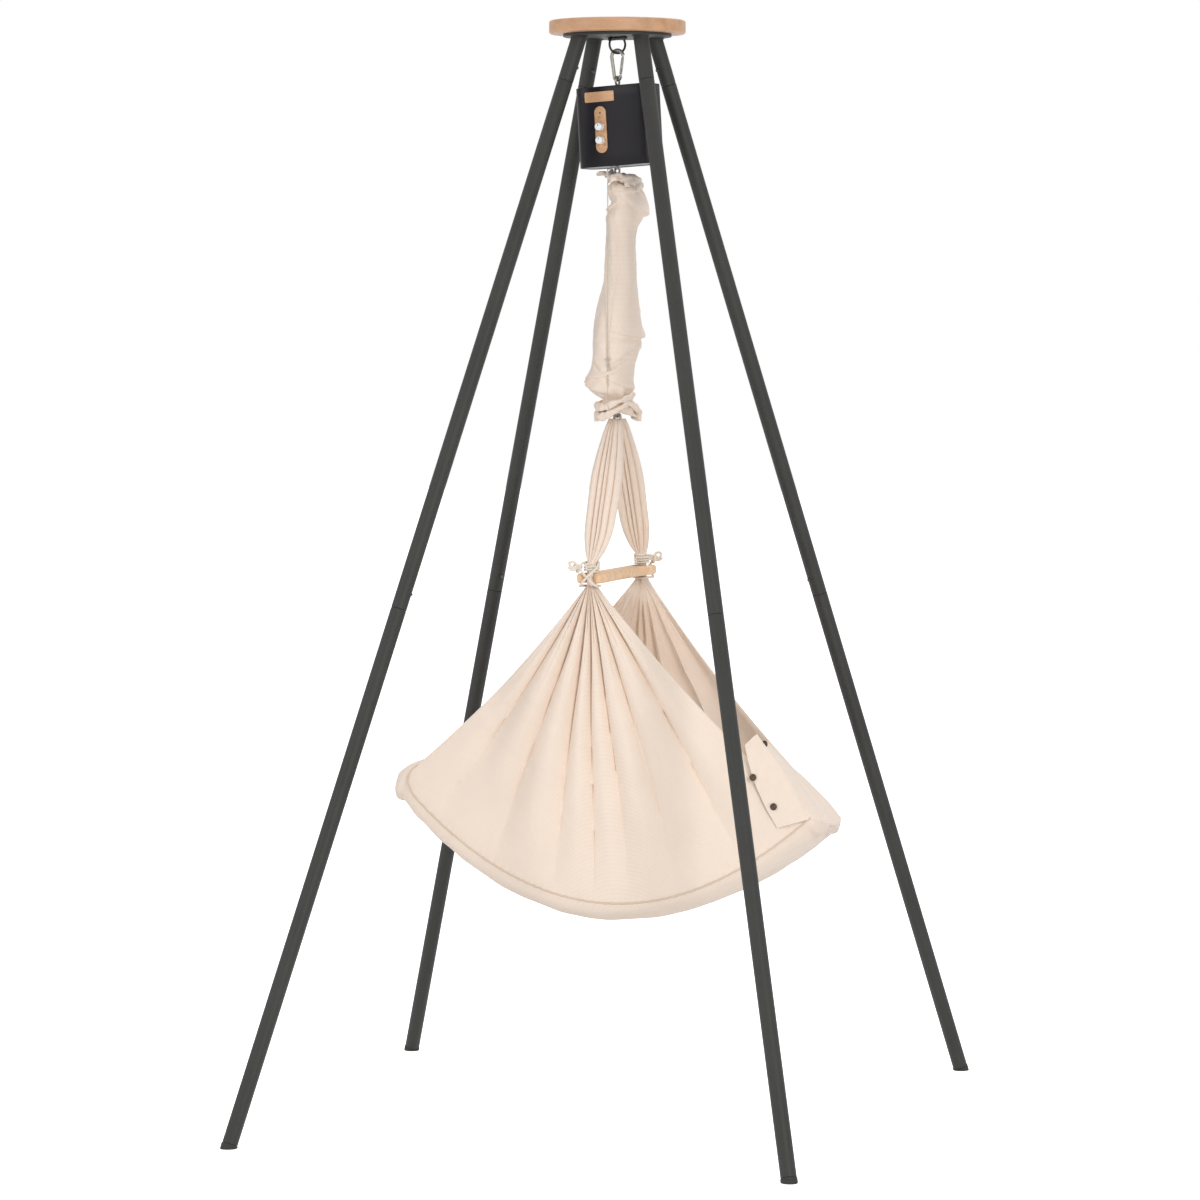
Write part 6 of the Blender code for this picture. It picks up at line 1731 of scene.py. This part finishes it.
stud_bronze = plated_steel("dark_bronze_stud", (0.085, 0.060, 0.045), 0.36)
stud_radius, stud_height = 0.0064, 0.0030
stud_profile = [
    (0, stud_height), (0.0022, stud_height - 0.00008), (0.0040, stud_height - 0.00045),
    (0.0050, stud_height - 0.0009), (0.0054, stud_height - 0.0011), (0.0058, stud_height - 0.0008),
    (0.0062, stud_height - 0.0010), (stud_radius, stud_height - 0.0016), (stud_radius - 0.0002, 0.0004),
    (stud_radius - 0.0010, 0), (0, 0),
]


stud_spots = []
for x, z in ((0.3035, 0.6350), (0.3410, 0.5835)):
    nearest = np.argmin((tab[..., 0] - x) ** 2 + (tab[..., 2] - z) ** 2)
    stud_spots.append(((x, tab.reshape(-1, 3)[nearest][1] - 0.0002, z), (0, -1, 0)))
stud_spots.append((right_wall[53, 3], (0.78, -0.61, 0.12)))
for number, (place, outward) in enumerate(stud_spots, 1):
    name = f"press_stud_{number}"
    stud = turned(name, stud_profile, stud_bronze, hub + place, outward, sides=48, ease=50)
    fit(stud, "hammock")


# Ties: a twisted cotton cord is wound three times round each gathered strap on top of the bar, and knotted.
tie_radius, tie_turns, turn_steps, strand_pitch = 0.0021, 3, 60, 0.014
lashing_radius, knot_radius, tail_radius = 0.0023, 0.0022, 0.0026
tie_start = bar_height + bar_thick / 2 + tie_radius + 0.0003
rope = grained_finish(
    "white_cotton_rope",
    (0.84, 0.76, 0.66),
    0.85,
    (1300, 3, 0.6),
    (0.3, (0.72, 0.62, 0.50)),
    (0.65, (0.88, 0.80, 0.70)),
    dents=(0.0003, 0.6),
    sheen_weight=0.2,
)


def twisted_rope(name, path, radius, reference, closed=False):
    """A three-strand rope: a bar whose radius rises and falls three times round it, and turns along it."""
    run = np.concatenate([[0], np.cumsum(np.linalg.norm(np.diff(path, axis=0), axis=1))])
    strands = np.abs(np.cos(1.5 * full_turn(18)[None, :] - run[:, None] * 2 * math.pi / strand_pitch))
    strands = radius * (0.80 + 0.22 * strands)
    return swept(name, path, strands, rope, reference, closed=closed, sides=18, ease=0)


def smooth_run(points, count, closed=False):
    """A smooth path of count points through these, evenly spaced."""
    points = np.array(points, float)
    if closed:
        points = np.concatenate([points[-2:], points, points[:3]])
    run = np.concatenate([[0], np.cumsum(np.linalg.norm(np.diff(points, axis=0), axis=1))])
    start, end = (run[2], run[-3]) if closed else (0, run[-1])
    return read_curve(np.column_stack([run, points]), np.linspace(start, end, count + closed)[: count])


# The lashing crosses the strap above and below the bar. The tails are the bow's loop and the cord's end
lashing_route = [
    (-0.0150, 0.1715, 1.0035),
    (0.0000, 0.1775, 0.9870),
    (0.0150, 0.1725, 0.9725),
    (0.0165, 0.1520, 0.9712),
    (0.0000, 0.1325, 0.9705),
    (-0.0165, 0.1520, 0.9712),
    (-0.0150, 0.1725, 0.9725),
    (0.0000, 0.1810, 0.9870),
    (0.0150, 0.1715, 1.0035),
    (0.0150, 0.1520, 1.0125),
    (0.0000, 0.1340, 1.0135),
    (-0.0150, 0.1520, 1.0125),
]
tail_routes = (
    [
        (0, 0, 0),
        (0.002, 0.004, 0.007),
        (0.007, 0.007, 0.011),
        (0.013, 0.007, 0.009),
        (0.012, 0.004, 0.002),
        (0.004, 0.003, -0.002),
    ],
    [(0, 0, 0), (0.005, 0.004, -0.003), (0.010, 0.005, -0.003), (0.016, 0.003, 0.001)],
)
tie_round = full_turn(120)
tie_knot = np.stack(
    [
        0.0026 * (np.sin(tie_round) + 2 * np.sin(2 * tie_round)),
        0.0024 * np.sin(3 * tie_round),
        0.0026 * (np.cos(tie_round) - 2 * np.cos(2 * tie_round)),
    ],
    -1,
)
for tie_name, side, knot_place in (
    ("front_tie", -1, (-0.0215, -0.1660, 1.0040)),
    ("back_tie", 1, (0.0185, 0.1610, 1.0060)),
):
    knot_place = hub + knot_place
    turns = np.arange(turn_steps * tie_turns + 1) / turn_steps
    angle = 2 * math.pi * turns + math.pi / 2 * side
    height = tie_start + (2 * tie_radius + 0.0004) * turns
    level = read_curve(strap_table, height)
    across = (level[:, 0] + tie_radius + 0.0030) * np.cos(angle)
    along = side * level[:, 1] + (level[:, 2] + tie_radius + 0.0014) * np.sin(angle)
    winding = hub + np.stack([across, along, height], -1)
    tie = twisted_rope("rope_" + tie_name, winding, tie_radius, (0, 0, 1.0))
    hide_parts(tie_name)
    cross_path = hub + smooth_run(lashing_route, 200, closed=True) * (1, side, 1)
    extras = []
    for kind, path, radius, reference in (
        ("lashing", cross_path, lashing_radius, (0.3, 0.2, 0.93)),
        ("knot", knot_place + tie_knot, knot_radius, (0.2, 0.9, 0.3)),
    ):
        extras.append(twisted_rope(f"rope_{tie_name}_{kind}", path, radius, reference, closed=True))
    for number, route in enumerate(tail_routes, 1):
        tail_line = knot_place + smooth_run(route, 60) * (side, side, 1)
        extras.append(twisted_rope(f"rope_{tie_name}_tail_{number}", tail_line, tail_radius, (0.1, 0.9, 0.2)))
    for piece in [tie] + extras:
        fit(piece, "hammock")
